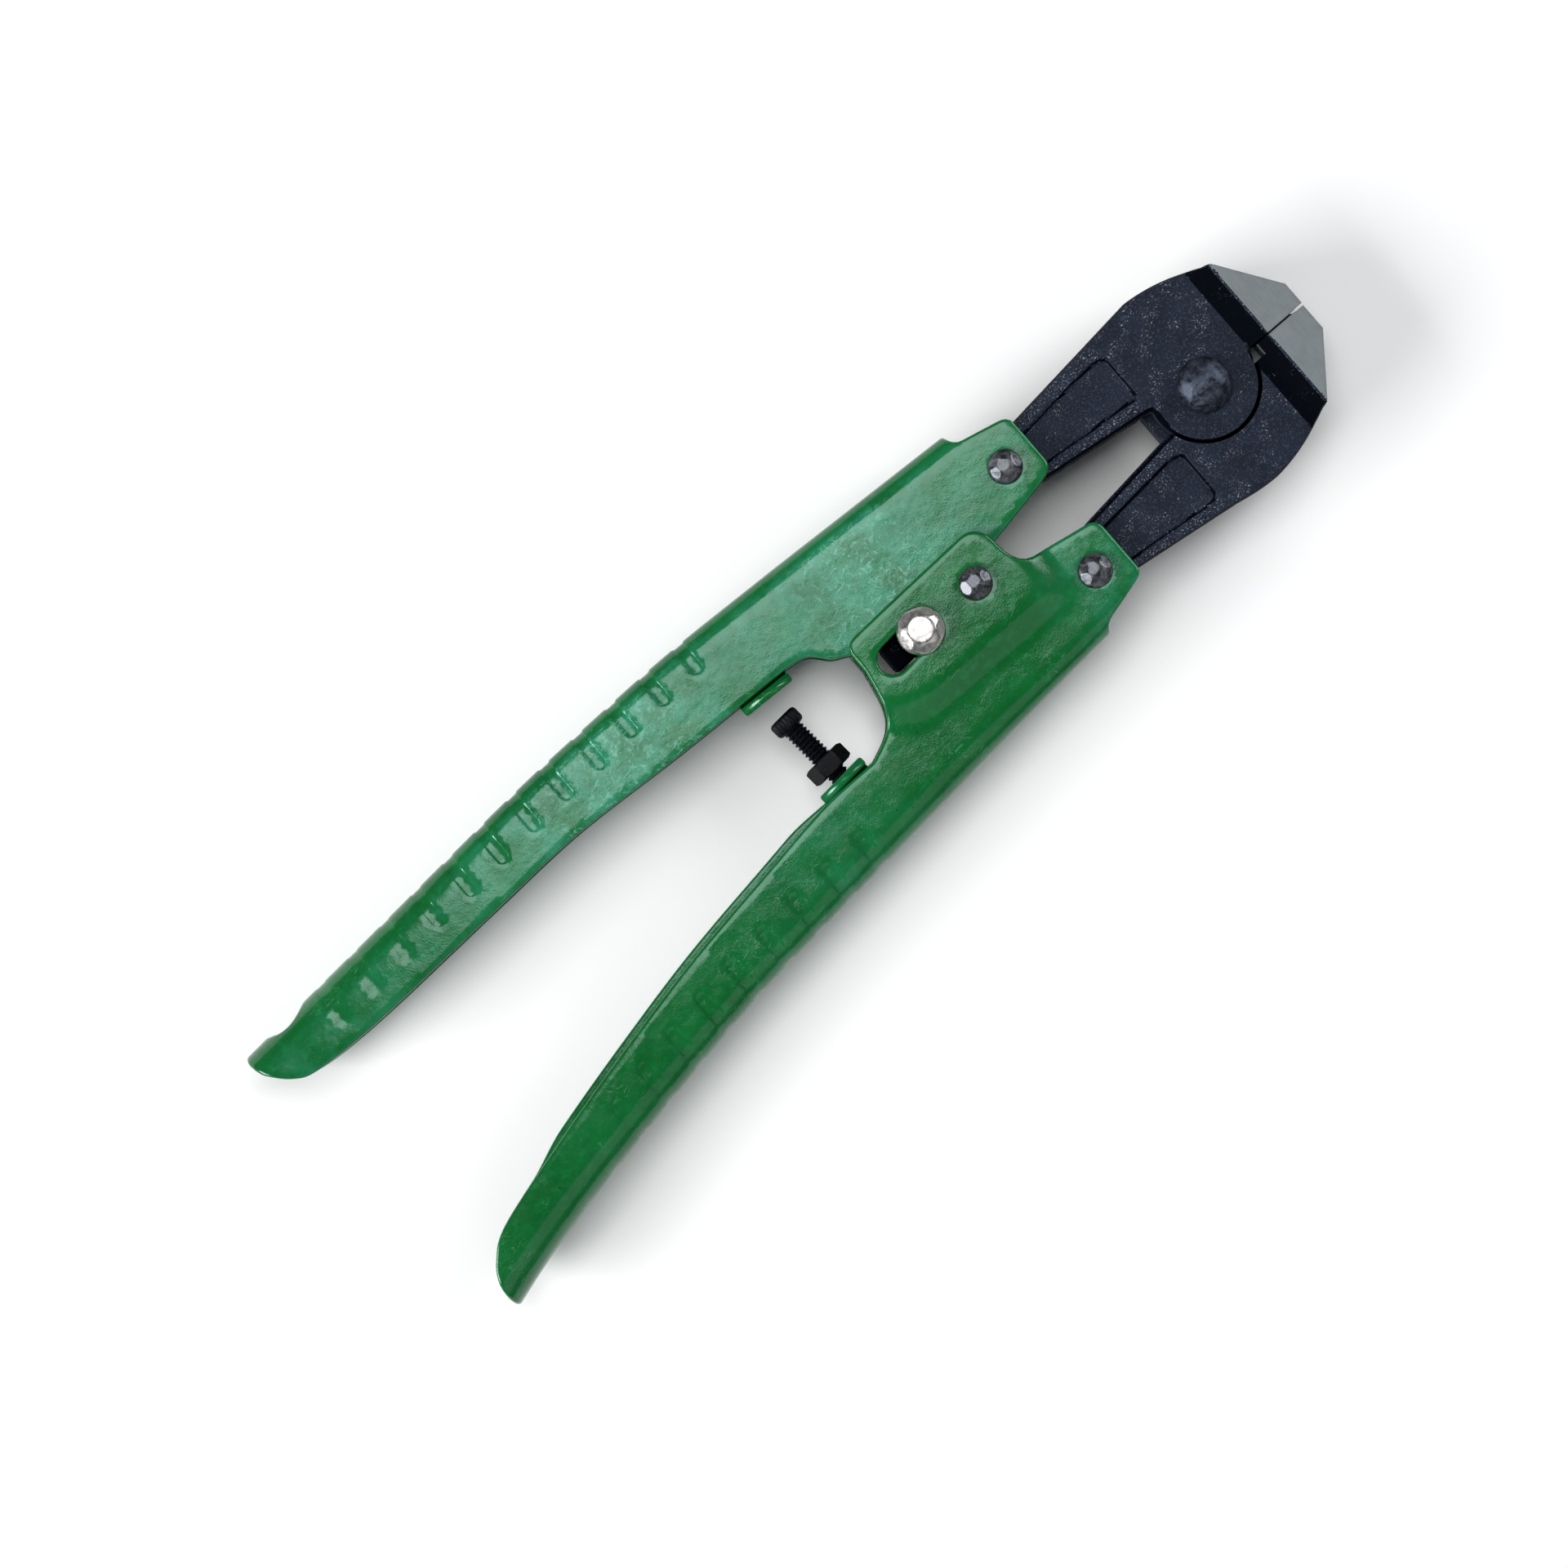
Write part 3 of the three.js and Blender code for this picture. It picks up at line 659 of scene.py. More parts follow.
class Grooves:
    """Finger grooves pressed across the web and on to both flanges, in the flat sheet. Each has
    round ends. They are deepest on the flanges, and fade towards the handle's end."""

    def __init__(self, first, spacing, ends, half_width, soft, depth, web_depth):
        self.grooves = [(first - spacing * k, end - half_width) for k, end in enumerate(ends)]
        self.half_width = half_width
        self.soft = soft
        self.depth = depth
        self.web_depth = web_depth

    def press(self, flat):
        """How deep the sheet is pressed at each point."""
        press = np.zeros(len(flat))
        over = np.abs(flat[:, 1])
        for x, straight in self.grooves:
            reach = self.half_width - np.hypot(flat[:, 0] - x, np.maximum(over - straight, 0))
            press = np.maximum(press, step_up(reach / self.soft))
        fade = 1 - 0.5 * step_up((-flat[:, 0] - 125) / 50)
        return press * fade * (self.web_depth + (self.depth - self.web_depth) * step_up((over - 5.5) / 3.0))

    def rows(self):
        """Points in rows along the grooves' walls."""
        dots = []
        for x, straight in self.grooves:
            for inward in (0, self.soft / 2, self.soft):
                reach = self.half_width - inward
                for w in np.arange(-straight, straight, 0.33):
                    dots += [(x - reach, w), (x + reach, w)]
                for turn in np.linspace(0, math.pi, 13):
                    over = straight + reach * math.sin(turn)
                    dots += [(x + reach * math.cos(turn), over), (x + reach * math.cos(turn), -over)]
        return dots


def folded_sheet(channel, loops, grooves, lift=None):
    """The channel's mesh: outer face, inner face and rounded rims."""
    flat, tris, edge = filled(loops, 1.0, (0.08, 0.27, 0.6), dots=grooves.rows())
    base = channel.fold(flat)
    if lift is not None:
        base[:, 2] += np.sign(flat[:, 1]) * lift(base)
    way = vertex_normals(base, tris)
    if float(np.sum(way[:, 1] * channel.side + way[:, 2] * np.sign(base[:, 2]) * 2)) < 0:
        tris = tris[:, ::-1]
        way = -way
    pressed = grooves.press(flat)
    outer = base - way * (pressed + rounding(edge, 0.55))[:, None]
    inner = base - way * (SHEET - rounding(edge, 0.4) + 0.5 * pressed)[:, None]
    verts = np.concatenate([outer, inner])
    verts[:, 2] += MID_Z
    return verts, two_sided(tris, len(base)) + [
        (b, a, a + len(base), b + len(base)) for a, b in boundary_edges(tris)]


def wear_and_sheen_hump(x, middle, spread):
    """A soft hump of wear and painted sheen along the handle."""
    return np.exp(-((x - middle) / spread) ** 2)


def flat_part(verts):
    """One on a flange's outer face, falling to zero round the bend."""
    return step_up((np.abs(verts[:, 2] - MID_Z) - CHANNEL_HALF + 0.9) / 0.8)


def tab_strip(length, profile, at, tilt):
    """A folded tab: an L-shaped strip with rounded corners, its profile in (y, z)."""
    profile = np.array(profile, float)
    along = unit(np.gradient(profile, axis=0))
    normal = np.stack([-along[:, 1], along[:, 0]], axis=1)
    corner = 0.45
    section = []
    for quarter, (right, up) in enumerate(((1, 1), (-1, 1), (-1, -1), (1, -1))):
        middle = (right * (length / 2 - corner), up * (SHEET / 2 - corner))
        section += arc(*middle, corner, 90 * quarter, 90 * quarter + 90, 4)
    rings = [[(x, point[0] + way[0] * t, point[1] + way[1] * t) for x, t in section]
             for point, way in zip(profile, normal)]
    verts, faces = shell(rings[::-1], capped=True)
    turn = Matrix.Rotation(tilt, 3, "Z")
    return [tuple(turn @ Vector(v) + Vector(at)) for v in verts], faces


def folded_tab_profile(side, foot):
    """(y, z) points from a tab's free front end, across the mouth and over its fold to the
    rear flange's edge."""
    level = -CHANNEL_HALF + SHEET / 2 + 0.07
    front = 5.6
    r = 1.7
    points = [(side * r, front - t) for t in (0.0, 0.3, 3.0, 6.0)]
    for i in range(7):
        angle = math.radians(90 - 90 * i / 6)
        points.append((side * r * math.sin(angle), level + r - r * math.cos(angle)))
    return points + [(-side * foot * 0.5, level), (-side * foot, level)]


UPPER_WEB = [(-24, 21.6), (-39, 22.5), (-60, 23.6), (-80, 24.6), (-98, 25.28), (-115, 25.1),
             (-132, 24.6), (-150, 23.5), (-168, 22.3), (-185, 21.2), (-204, 19.9)]
LOWER_WEB = [(-24, -20.4), (-39, -21.4), (-54, -22.5), (-72, -24.1), (-90, -25.7), (-108, -27.3),
             (-124, -28.8), (-140, -31.2), (-156, -34.0), (-170, -36.8), (-184, -40.2), (-198, -44.6)]
OUTLINE_STEP = 0.8


def round_hole(centre, radius):
    return arc(*centre[:2], radius, 0, 360, 28)[:-1]


def both_flanges(channel, outline, holes, deeper_rear=0.0):
    """Loops of the flat sheet from the front flange's outline and holes, mirrored behind."""
    front = channel.lay_out(outline)
    rear = front[::-1].copy()
    extra = deeper_rear * step_up((-rear[:, 0] - 92) / 12) * step_up((-176 - rear[:, 0]) / -10)
    grow = np.where(rear[:, 1] > 12, extra, 0)
    rear[:, 1] = -(rear[:, 1] + grow)
    loops = [resampled(np.concatenate([front, rear]), OUTLINE_STEP)]
    for hole in holes:
        flat = channel.lay_out(hole)
        loops.append(resampled(flat, OUTLINE_STEP * 0.6))
        loops.append(resampled(flat * [1, -1], OUTLINE_STEP * 0.6))
    return loops


def upper_handle():
    channel = Channel(UPPER_WEB, 1, 3.7)
    outline = [
        (-39, channel.web(-39)),
        *bend((-39, 22.2), (-38.8, 20.6), (-37.6, 20)),
        *bend((-30.4, 18.2), (-28.6, 17.8), (-28.6, 16.0)),
        *bend((-28.6, 8.2), (-28.6, 6.4), (-30.6, 5.9)),
        (-33, 5.2),
        *arc(*HANDLE_PIVOT[:2], 7.2, 25, -216),
        (-74.4, 4.2),
        *smooth_line([(-76, 5.1), (-78.2, 6.3), (-81, 9.2), (-85, 10.0)], 8),
        *smooth_line([(-85, 10.0), (-108, 10.8), (-130, 12.0), (-150, 11.3), (-176, 10.2),
                      (-189, 10.6), (-193.5, 12.4), (-196.7, 16.1), (-197.9, 19.4)]),
        (-198, channel.web(-198)),
    ]
    holes = [round_hole(HANDLE_PIVOT, 2.35), round_hole(UPPER_EAR, 2.15)]
    loops = both_flanges(channel, outline, holes)
    loops.append(resampled(arc(-188.6, 0, 4.1, 0, 360, 30)[:-1], 0.5))
    ends = [11.4, 11.8, 12.1] + [12.6] * 5 + [12.1] * 4
    grooves = Grooves(-96.3, 7.62, ends, half_width=1.35, soft=0.5, depth=0.24, web_depth=0.24)
    sheet = folded_sheet(channel, loops, grooves)
    tab = tab_strip(10.0, folded_tab_profile(-1, 0.5), (-90.2, 10.6, MID_Z), math.radians(-2))
    verts, faces = merged([sheet, tab])
    obj = add_object("upper_handle_sheet", verts, faces, [GREEN])
    verts = np.array(verts)
    x = verts[:, 0]
    # Wear and painted sheen mask: humps where the enamel is rubbed and where the flat faces carry the pale
    # painted sheen of the overhead softbox, kept to the flanges' flat faces.
    wear = 0.3 + 0.65 * wear_and_sheen_hump(x, -64, 16) + 0.6 * wear_and_sheen_hump(x, -118, 26)
    set_wear_and_sheen(obj, wear * (0.15 + 0.85 * flat_part(verts)))
    return obj


def raised(points):
    """How far the lower handle's flange steps out at each point, to clear the upper handle."""
    x, y = points[:, 0], points[:, 1]
    below = -7.5 - y
    right = x + 44.5
    left = ((x + 72) * -8 + (y + 8) * -7) / 10.6
    soft = 1.6
    peak = np.maximum(np.maximum(below, right), left)
    total = sum(np.exp((d - peak) / soft) for d in (below, right, left))
    outside = peak + soft * np.log(total)
    return (LUG_HALF - CHANNEL_HALF) * ramp_up(1 - (outside - 0.3) / 6.1)


def lower_handle():
    channel = Channel(LOWER_WEB, -1, 5.2)
    outline = [
        (-39.2, channel.web(-39.2)),
        *bend((-39.2, -21.2), (-39, -20.2), (-37.6, -19.6)),
        *bend((-30.4, -17.5), (-28.7, -17.1), (-28.7, -15.4)),
        *bend((-28.7, -7), (-28.7, -5.2), (-30.6, -4.8)),
        *bend((-41, -2.9), (-44.4, -2), (-44.4, 3.5)),
        *bend((-44.4, 3.5), (-44.9, 7.6), (-48.5, 7.6)),
        *bend((-72.7, 6.6), (-75.2, 6.5), (-75.2, 4.1)),
        *smooth_line([(-75.2, 1), (-76.6, -5), (-79, -9), (-84, -11.5)], 8),
        *smooth_line([(-84, -11.5), (-95, -11.7), (-110, -13.8), (-130, -16.9), (-150, -21.2),
                      (-167, -25.4), (-182.4, -29.8), (-187.6, -33.4), (-189.7, -36.8),
                      (-190.2, -40.5)]),
        (-190.2, channel.web(-190.2)),
    ]
    slot = arc(-62.8, 0.1, 2.7, -85, 95, 14) + arc(-70.3, -0.55, 2.7, 95, 275, 14)
    holes = [round_hole(HANDLE_PIVOT, 2.3), round_hole(LOWER_EAR, 2.1), slot]
    loops = both_flanges(channel, outline, holes, deeper_rear=1.0)
    ends = [11.8, 12.2] + [12.7] * 6 + [12.0] * 3
    grooves = Grooves(-94.3, 7.58, ends, half_width=1.6, soft=0.8, depth=0.34, web_depth=0.2)
    sheet = folded_sheet(channel, loops, grooves, raised)
    tab = tab_strip(9.7, folded_tab_profile(1, 0.5), (-89.9, -12.2, MID_Z), math.radians(5))
    verts, faces = merged([sheet, tab])
    obj = add_object("lower_handle_sheet", verts, faces, [GREEN])
    x = np.array(verts)[:, 0]
    # The same wear and painted sheen mask: the enamel's scuffs and pale haze follow it.
    set_wear_and_sheen(obj, 0.5 * wear_and_sheen_hump(x, -34, 8) + 0.25 * wear_and_sheen_hump(x, -100, 14))
    return obj


# ---- jaws ----

# The band across the nose is painted dark as shade.
BAND_END = 13.35       # X where the dark band across the nose ends
GROUND_START = 13.8    # X where the ground faces start


def beyond(points, polygon_points, soft=0.25):
    """Signed distance outside a convex anticlockwise polygon, softly rounded."""
    parts = []
    for a, b in zip(polygon_points, polygon_points[1:] + polygon_points[:1]):
        dx, dy = b[0] - a[0], b[1] - a[1]
        size = math.hypot(dx, dy)
        parts.append(((points[:, 0] - a[0]) * dy - (points[:, 1] - a[1]) * dx) / size)
    parts = np.array(parts)
    peak = parts.max(axis=0)
    return peak + soft * np.log(np.exp((parts - peak) / soft).sum(axis=0))


def jaw_height(flat, panel, fillet):
    """Half thickness of a jaw over its plan: arms, recessed panel, head, ridge, ground face."""
    x = flat[:, 0]
    height = ARM_HALF + (HEAD_HALF - ARM_HALF) * step_up((x + 11) / 1)
    height = height - 0.6 * step_up((0.7 - beyond(flat, panel)) / 0.7)
    rise = np.clip((x - 9.8) / 3.5, 0, 1)
    rise = np.sqrt(rise * rise + fillet ** 2) - fillet
    rise = rise / (math.sqrt(1 + fillet ** 2) - fillet)
    height = height + (RIDGE_HALF - HEAD_HALF) * rise
    slope = (RIDGE_HALF - TIP_HALF) / 8.5
    return np.minimum(height, RIDGE_HALF - slope * (x - GROUND_START))


def jaw_drop(flat, edge, blade_y):
    """How far the surface has dropped near the jaw's edge. Forged sides have draft, widest in
    the slot between the arms, and the ground edges are sharp."""
    x, y = flat[:, 0], flat[:, 1]
    slot = step_up((-8.8 - x) / 0.8) * step_up((9 - np.abs(y)) / 2)
    band = 0.38 + 0.5 * slot
    draft = 1.9 * np.clip(1 - edge / band, 0, 1) ** 1.15 + rounding(edge, band + 0.25)
    ground = step_up((x - 12.9) / 0.6)
    cut = step_up((x - 9.0) / 0.6) * step_up((2.2 - np.abs(y - blade_y)) / 0.6)
    sharp = np.maximum(ground, cut)
    return draft * (1 - sharp) + rounding(edge, 0.05) * sharp


def blade_step(flat, blade_y):
    """The blades' faces step sideways by a hair at half thickness, so no light comes through."""
    x, y = flat[:, 0], flat[:, 1]
    window = step_up((x - 9.95) / 0.4) * step_up((20.25 - x) / 0.4)
    return 0.32 * window * np.clip(1 - np.abs(y - blade_y) / 2, 0, 1)


def jaw_face_slot(corners, band_start):
    """Which of JAW_LOOKS a face has: ground on the blades, painted shade on the band behind them and on the
    steep sides, forged elsewhere."""
    x, _, z = corners.mean(axis=0)
    way = np.cross(corners[1] - corners[0], corners[2] - corners[0])
    # Steep faces get the painted shade look.
    steep = abs(way[2]) < 0.78 * np.linalg.norm(way) and abs(z) > 3.0
    if x > GROUND_START - 0.02:
        return 1
    return 2 if band_start < x < BAND_END + 0.02 or steep else 0


def jaw_wear(verts, panel):
    """Worn rails along the panel, and a worn edge on the ridge."""
    rail = beyond(verts[:, :2], panel)
    x = verts[:, 0]
    wear = step_up((rail - 0.7) / 0.4) * step_up((3.2 - rail) / 1.2) * step_up((-9.5 - x) / 1.5)
    return np.maximum(wear, step_up((0.45 - np.abs(x - 13.6)) / 0.3))


def jaw_slab(name, outline, holes, panel, fillet, blade_y):
    """One jaw at full thickness, before the lap is cut."""
    loops = [resampled(outline, 0.5)] + [resampled(hole, 0.4) for hole in holes]
    ridge_lines = []
    for x in (9.0, 9.8, BAND_END, GROUND_START):
        column = np.array([(x, y) for y in np.linspace(-24, 24, 97)])
        column = column[inside(column, loops) & (distance_to(column, loops) > 1.3)]
        if len(column) > 1:
            ridge_lines.append(column)
    walls = [left_of(resampled(panel, 0.45), inward) for inward in (0.05, -0.2, -0.5, -0.75)]
    rings = (0.12, 0.42, 0.8, 1.15)
    flat, tris, edge = filled(loops, 0.5, rings, ridge_lines, np.concatenate(walls))
    top = jaw_height(flat, panel, fillet) - jaw_drop(flat, edge, blade_y)
    grain = np.array([noise.noise(Vector((x * 0.35, y * 0.35, 0))) for x, y in flat])
    rough = np.array([noise.noise(Vector((x * 1.4, y * 1.4, 5))) for x, y in flat])
    top += (flat[:, 0] < 12.8) * step_up(edge / 0.8) * (0.05 * grain + 0.03 * rough)
    count = len(flat)
    below = flat + np.stack([np.zeros(count), blade_step(flat, blade_y)], axis=1)
    edges = boundary_edges(tris)
    rim = sorted({point for ends in edges for point in ends})
    rim_place = {point: 2 * count + i for i, point in enumerate(rim)}
    rim_half = 0.3
    verts = np.concatenate([
        np.column_stack([flat, top]),
        np.column_stack([below, -top]),
        np.column_stack([flat[rim], np.full(len(rim), rim_half)]),
        np.column_stack([below[rim], np.full(len(rim), -rim_half)]),
    ])
    faces = two_sided(tris, count)
    for ends in edges:
        a, b = ((p, rim_place[p], rim_place[p] + len(rim), p + count) for p in ends)
        faces += [(b[i], a[i], a[i + 1], b[i + 1]) for i in range(3)]
    band_start = 9.8 if fillet < 0.1 else 9.0
    slots = [jaw_face_slot(verts[list(face)], band_start) for face in faces]
    wear = jaw_wear(verts, panel)
    verts[:, 2] += MID_Z
    obj = add_object(name, verts, faces, JAW_LOOKS, slots)
    set_wear_and_sheen(obj, wear)
    return obj


def reshaped(obj, cutters, added=()):
    """Cuts the cutters out of a jaw for good, and joins the added solids to it."""
    work = [(cutter, "DIFFERENCE") for cutter in cutters] + [(extra, "UNION") for extra in added]
    for cutter, operation in work:
        modifier = obj.modifiers.new("cut", "BOOLEAN")
        modifier.operation = operation
        modifier.solver = "EXACT"
        modifier.object = cutter
    graph = bpy.context.evaluated_depsgraph_get()
    mesh = bpy.data.meshes.new_from_object(obj.evaluated_get(graph))
    obj.modifiers.clear()
    obj.data = mesh
    mesh.set_sharp_from_angle(angle=math.radians(35))
    for cutter, _ in work:
        bpy.data.objects.remove(cutter)
    return obj


def jaw_solid(verts, faces, slot):
    """A solid to cut out of a jaw or to join to it, with the look that its faces leave behind."""
    return add_object("cutter", verts, faces, JAW_LOOKS, [slot] * len(faces), flat=True)


def cutter_rod(radius, low, high):
    """An upright rod about the jaw pivot."""
    verts, faces = turned([(0, low), (radius, low), (radius, high), (0, high)], (0, 0), 96)
    # Its cut walls take slot 2, the painted shade look.
    return jaw_solid(verts, faces, 2)


def cutter_prism(points, low, high, slot=0):
    """An upright solid on an anticlockwise outline."""
    rings = [[(x, y, z + MID_Z) for x, y in points] for z in (low, high)]
    return jaw_solid(*shell(rings, capped=True), slot)


UPPER_PANEL = [(-42, 8.8), (-28.3, 7.7), (-10.4, 5.5), (-10.1, 6.5), (-10.1, 14.2), (-12.5, 15.3),
               (-28.3, 13.6), (-42, 12.6)]
LOWER_PANEL = [(-42, -12.7), (-28.3, -14.0), (-12, -16.0), (-10.8, -14.6), (-10.8, -6.8), (-12.5, -6.0),
               (-28.3, -7.3), (-42, -8.4)]
LAP_GAP = 0.15
LAP_ROOM = 0.3
HEEL_END = -10.9
HEEL_TOP = 2.65


def upper_jaw():
    outline = [
        (22.3, -0.25), (22.3, 4.0), (14.1, 14.7),
        *bend((14.1, 14.7), (7, 18.9), (-1, 19.4), 16),
        (-28.3, 16.6),
        *arc(*UPPER_EAR[:2], 5, 90, 270),
        (-30, 5.2),
        *bend((-10.6, 2.6), (-9.5, 2.45), (-9.36, 2.1), 4),
        *arc(0, 0, LAP_R, 167.5, 357.9, 70),
        (9.9, -0.35), (20.3, -0.35), (20.3, -0.25),
    ]
    holes = [round_hole((0, 0), 3.1), round_hole(UPPER_EAR, 2.35)]
    obj = jaw_slab("upper_jaw_forging", outline, holes, UPPER_PANEL, 0.02, -0.35)
    # The notch's cut walls take slot 2, the painted shade look.
    notch = [(0, 0), (-8.4, 5.0)] + arc(0, 0, 12.1, 151.5, 190, 12)
    return reshaped(obj, [cutter_rod(LAP_R + LAP_ROOM, -12, LAP_GAP), cutter_prism(notch, -12, LAP_GAP, 2)])


def lower_jaw():
    outline = [
        (22.2, -5.9), (22.2, -0.75), (20.3, -0.75), (20.3, -0.65), (9.9, -0.65),
        *arc(0, 0, LAP_R, -3.5, 195.7, 76),
        *bend((-10.9, -2.6), (-11.5, -2.6), (-12.2, -2.67), 4),
        (-30, -4.6),
        *arc(*LOWER_EAR[:2], 5, 90, 270),
        (-28.3, -16.2),
        *bend((-8, -19), (-3.5, -20), (0, -19.9)),
        *bend((0, -19.9), (7, -19.3), (13.7, -15.7), 14),
    ]
    holes = [round_hole((0, 0), 3.1), round_hole(LOWER_EAR, 2.15)]
    obj = jaw_slab("lower_jaw_forging", outline, holes, LOWER_PANEL, 0.35, -0.65)
    relief = [(7.5, -2.8), (11.3, -2.8), (11.3, 0.5), (7.5, 0.5)]
    heel = [(HEEL_END, -4.2), (-8.9, -4.2), (-8.9, HEEL_TOP), (HEEL_END, HEEL_TOP)]
    return reshaped(
        obj,
        [cutter_rod(LAP_R + LAP_ROOM, -LAP_GAP, 12), cutter_prism(relief, -LAP_GAP, 12, 1)],
        [cutter_prism(heel, -ARM_HALF + 0.6, -LAP_GAP)],
    )


# ---- rivets, bolt, stud ----


def rivet(name, at, shank, head, seat, front, rear, seed):
    """A riveted pin with hammered domes at both ends."""
    flats = hammer_flats(seed, head, seat, front, 6, 0.10)
    flats += [((w[0], w[1], -w[2]), o) for w, o in hammer_flats(seed + 9, head, seat, rear, 6, 0.09)]
    back = [(r, -z) for r, z in reversed(dome(head, seat, rear, 0.2))]
    profile = back + [(shank, -seat), (shank, seat)] + dome(head, seat, front, 0.25)
    return turned_piece(name, profile, at, GUNMETAL, 96, flats, 24)


def pivot_bolt():
    """The jaws' pivot, its dome lightly hammered and its end flush with the nut."""
    seat = HEAD_HALF + 0.05
    profile = [(0, -MID_Z), (2.5, -MID_Z), (2.95, -MID_Z + 0.45), (2.95, seat)] + dome(4.8, seat, 3.9, 0.35)
    flats = hammer_flats(5, 4.8, seat, 3.9, 7, 0.03)
    return turned_piece("jaw_pivot_dome", profile, (0, 0), PIVOT_BLACK, 96, flats, 30)


def pivot_washer():
    top = -HEAD_HALF - 0.05
    low = top - 0.8
    profile = [(3.1, low), (5.6, low), (5.8, low + 0.2), (5.8, top - 0.2), (5.6, top), (3.1, top), (3.1, low)]
    return turned_piece("jaw_pivot_washer_ring", profile, (0, 0), OXIDE)


def hexagon(across_flats):
    """The radius of a hexagon as a function of the angle."""
    return lambda angle: across_flats / 2 / math.cos((angle + math.pi / 6) % (math.pi / 3) - math.pi / 6)


def hex_nut(across_flats, low, high, bore, chamfer=0.5, steps=96):
    """A hex nut about +Z with turned chamfers at both ends and a chamfered bore."""
    side = hexagon(across_flats)

    def outside(level):
        """The hexagon, cut by the cone of the turned chamfer."""
        cone = across_flats / 2 * 0.97 + min(level - low, high - level) * 1.9
        return lambda angle: min(side(angle), cone)

    levels = [low + up for up in (0, 0.12, 0.25, chamfer * 0.8, chamfer * 1.2)]
    levels += [high + low - level for level in reversed(levels)]
    rings = [ring(outside(level), level, steps) for level in levels]
    wide = bore + 0.35
    for radius, level in ((wide, high), (bore, high - 0.35), (bore, low + 0.35), (wide, low)):
        rings.append(ring(radius, level, steps))
    return shell(rings, looped=True)


def pivot_nut():
    verts, faces = hex_nut(10, 0.0, MID_Z - HEAD_HALF - 0.9, 3.05)
    return add_object("jaw_pivot_hex", verts, faces, [OXIDE], crease=25)


def lock_stud():
    """The stud, its bright dome with a flat top and five faint flats about it."""
    seat = LUG_HALF + 0.2
    flats = [((0, 0, 1), seat + 2.45)]
    flats += [dome_flat(math.radians(35 + 72 * i), 0.75, 4.2, seat, 2.8, 0.13) for i in range(5)]
    profile = [(0, -MID_Z), (2.1, -MID_Z), (2.5, -MID_Z + 0.4), (2.5, seat)] + dome(4.2, seat, 2.8, 0.3)
    return turned_piece("lock_stud_dome", profile, STUD, NICKEL, 96, flats, 28)


def stud_button():
    low = -MID_Z
    high = -LUG_HALF - 0.2
    profile = [(2.6, low), (3.2, low), (3.8, low + 0.5), (4.0, low + 1.1), (4.0, high), (2.6, high),
               (2.6, low)]
    return turned_piece("lock_stud_rear", profile, STUD, NICKEL, 72)


def stud_shade_block():
    """A dark block that the stud carries under the slot, between the flanges: painted shade that fills the
    view down the slot.
    """
    half = 2.6
    left = -71.0
    level = 4.6
    chamfer = 0.4
    corner = 0.9
    middle = STUD[1] - 0.3

    def outline(inset, z):
        line = arc(STUD[0] + 0.8, STUD[1], half - inset, -90, 90, 14)
        line += arc(left + corner, middle + half - corner, corner - inset, 90, 180, 6)
        line += arc(left + corner, middle - half + corner, corner - inset, 180, 270, 6)
        return [(x, y, MID_Z + z) for x, y in line]

    rings = [outline(chamfer, -level), outline(0, chamfer - level), outline(0, level - chamfer),
             outline(chamfer, level)]
    verts, faces = shell(rings, capped=True)
    return add_object("lock_stud_slide", verts, faces, [SHADE_BLACK], crease=35)


# ---- stop screw ----

SCREW_BASE = (-89.9, -9.65)
SCREW_TILT = math.radians(4)
SCREW_HEAD = 11.4


def along_screw(verts):
    """Turns a piece made about +Z on to the stop screw's axis."""
    turn = Matrix.Rotation(SCREW_TILT, 3, "Z") @ Matrix.Rotation(-math.pi / 2, 3, "X")
    at = Vector((SCREW_BASE[0], SCREW_BASE[1], MID_Z))
    return [tuple(turn @ Vector(v) + at) for v in verts]


def threaded_rod(low, high, outer, pitch, steps=40, per_pitch=8):
    """A rod with a real helical thread, closed at both ends."""
    depth = 0.52 * pitch
    count = int((high - low) / pitch * per_pitch)

    def thread(level):
        taper = min(1.0, (level - low) / 0.7)

        def radius(angle):
            crest = 1 - abs(2 * ((level / pitch - angle / TAU) % 1.0) - 1)
            return outer - depth + depth * min(1.0, crest * 1.25) * taper - 0.3 * (1 - taper)

        return radius

    levels = [low + (high - low) * row / count for row in range(count + 1)]
    rings = [ring(thread(level), level, steps) for level in levels]
    return shell([[(0, 0, low)], *rings, [(0, 0, high)]])


def fluted_head(low, high, radius, flutes=22):
    """The screw's fluted round head with a hexagon socket in its top."""
    steps = flutes * 8
    flute = 0.2
    floor_level = high - 1.5
    profile = [(0.70, low, 0), (0.86, low + 0.12, 0), (0.97, low + 0.45, flute), (1.0, low + 0.8, flute),
               (1.0, high - 0.7, flute), (0.97, high - 0.35, flute), (0.86, high - 0.08, 0), (0.78, high, 0)]

    def side(share, depth):
        return lambda angle: radius * share - depth * (1 - abs(math.sin(flutes * angle / 2)))

    rings = [ring(side(share, depth), level, steps) for share, level, depth in profile]
    rings += [ring(hexagon(2.5), level, steps) for level in (high, floor_level)]
    return shell([[(0, 0, low)], *rings, [(0, 0, floor_level)]])


def stop_screw():
    shank = threaded_rod(SCREW_HEAD - 20, SCREW_HEAD + 0.3, 1.9, 0.8)
    verts, faces = merged([shank, fluted_head(SCREW_HEAD, SCREW_HEAD + 2.9, 2.8)])
    return add_object("stop_screw_thread", along_screw(verts), faces, [OXIDE], crease=40)


def stop_nut():
    verts, faces = hex_nut(7, 1.2, 4.4, 2.0, 0.4)
    spun = [(-y, x, z) for x, y, z in verts]
    return add_object("stop_nut_hex", along_screw(spun), faces, [OXIDE], crease=25)


# ---- return spring ----

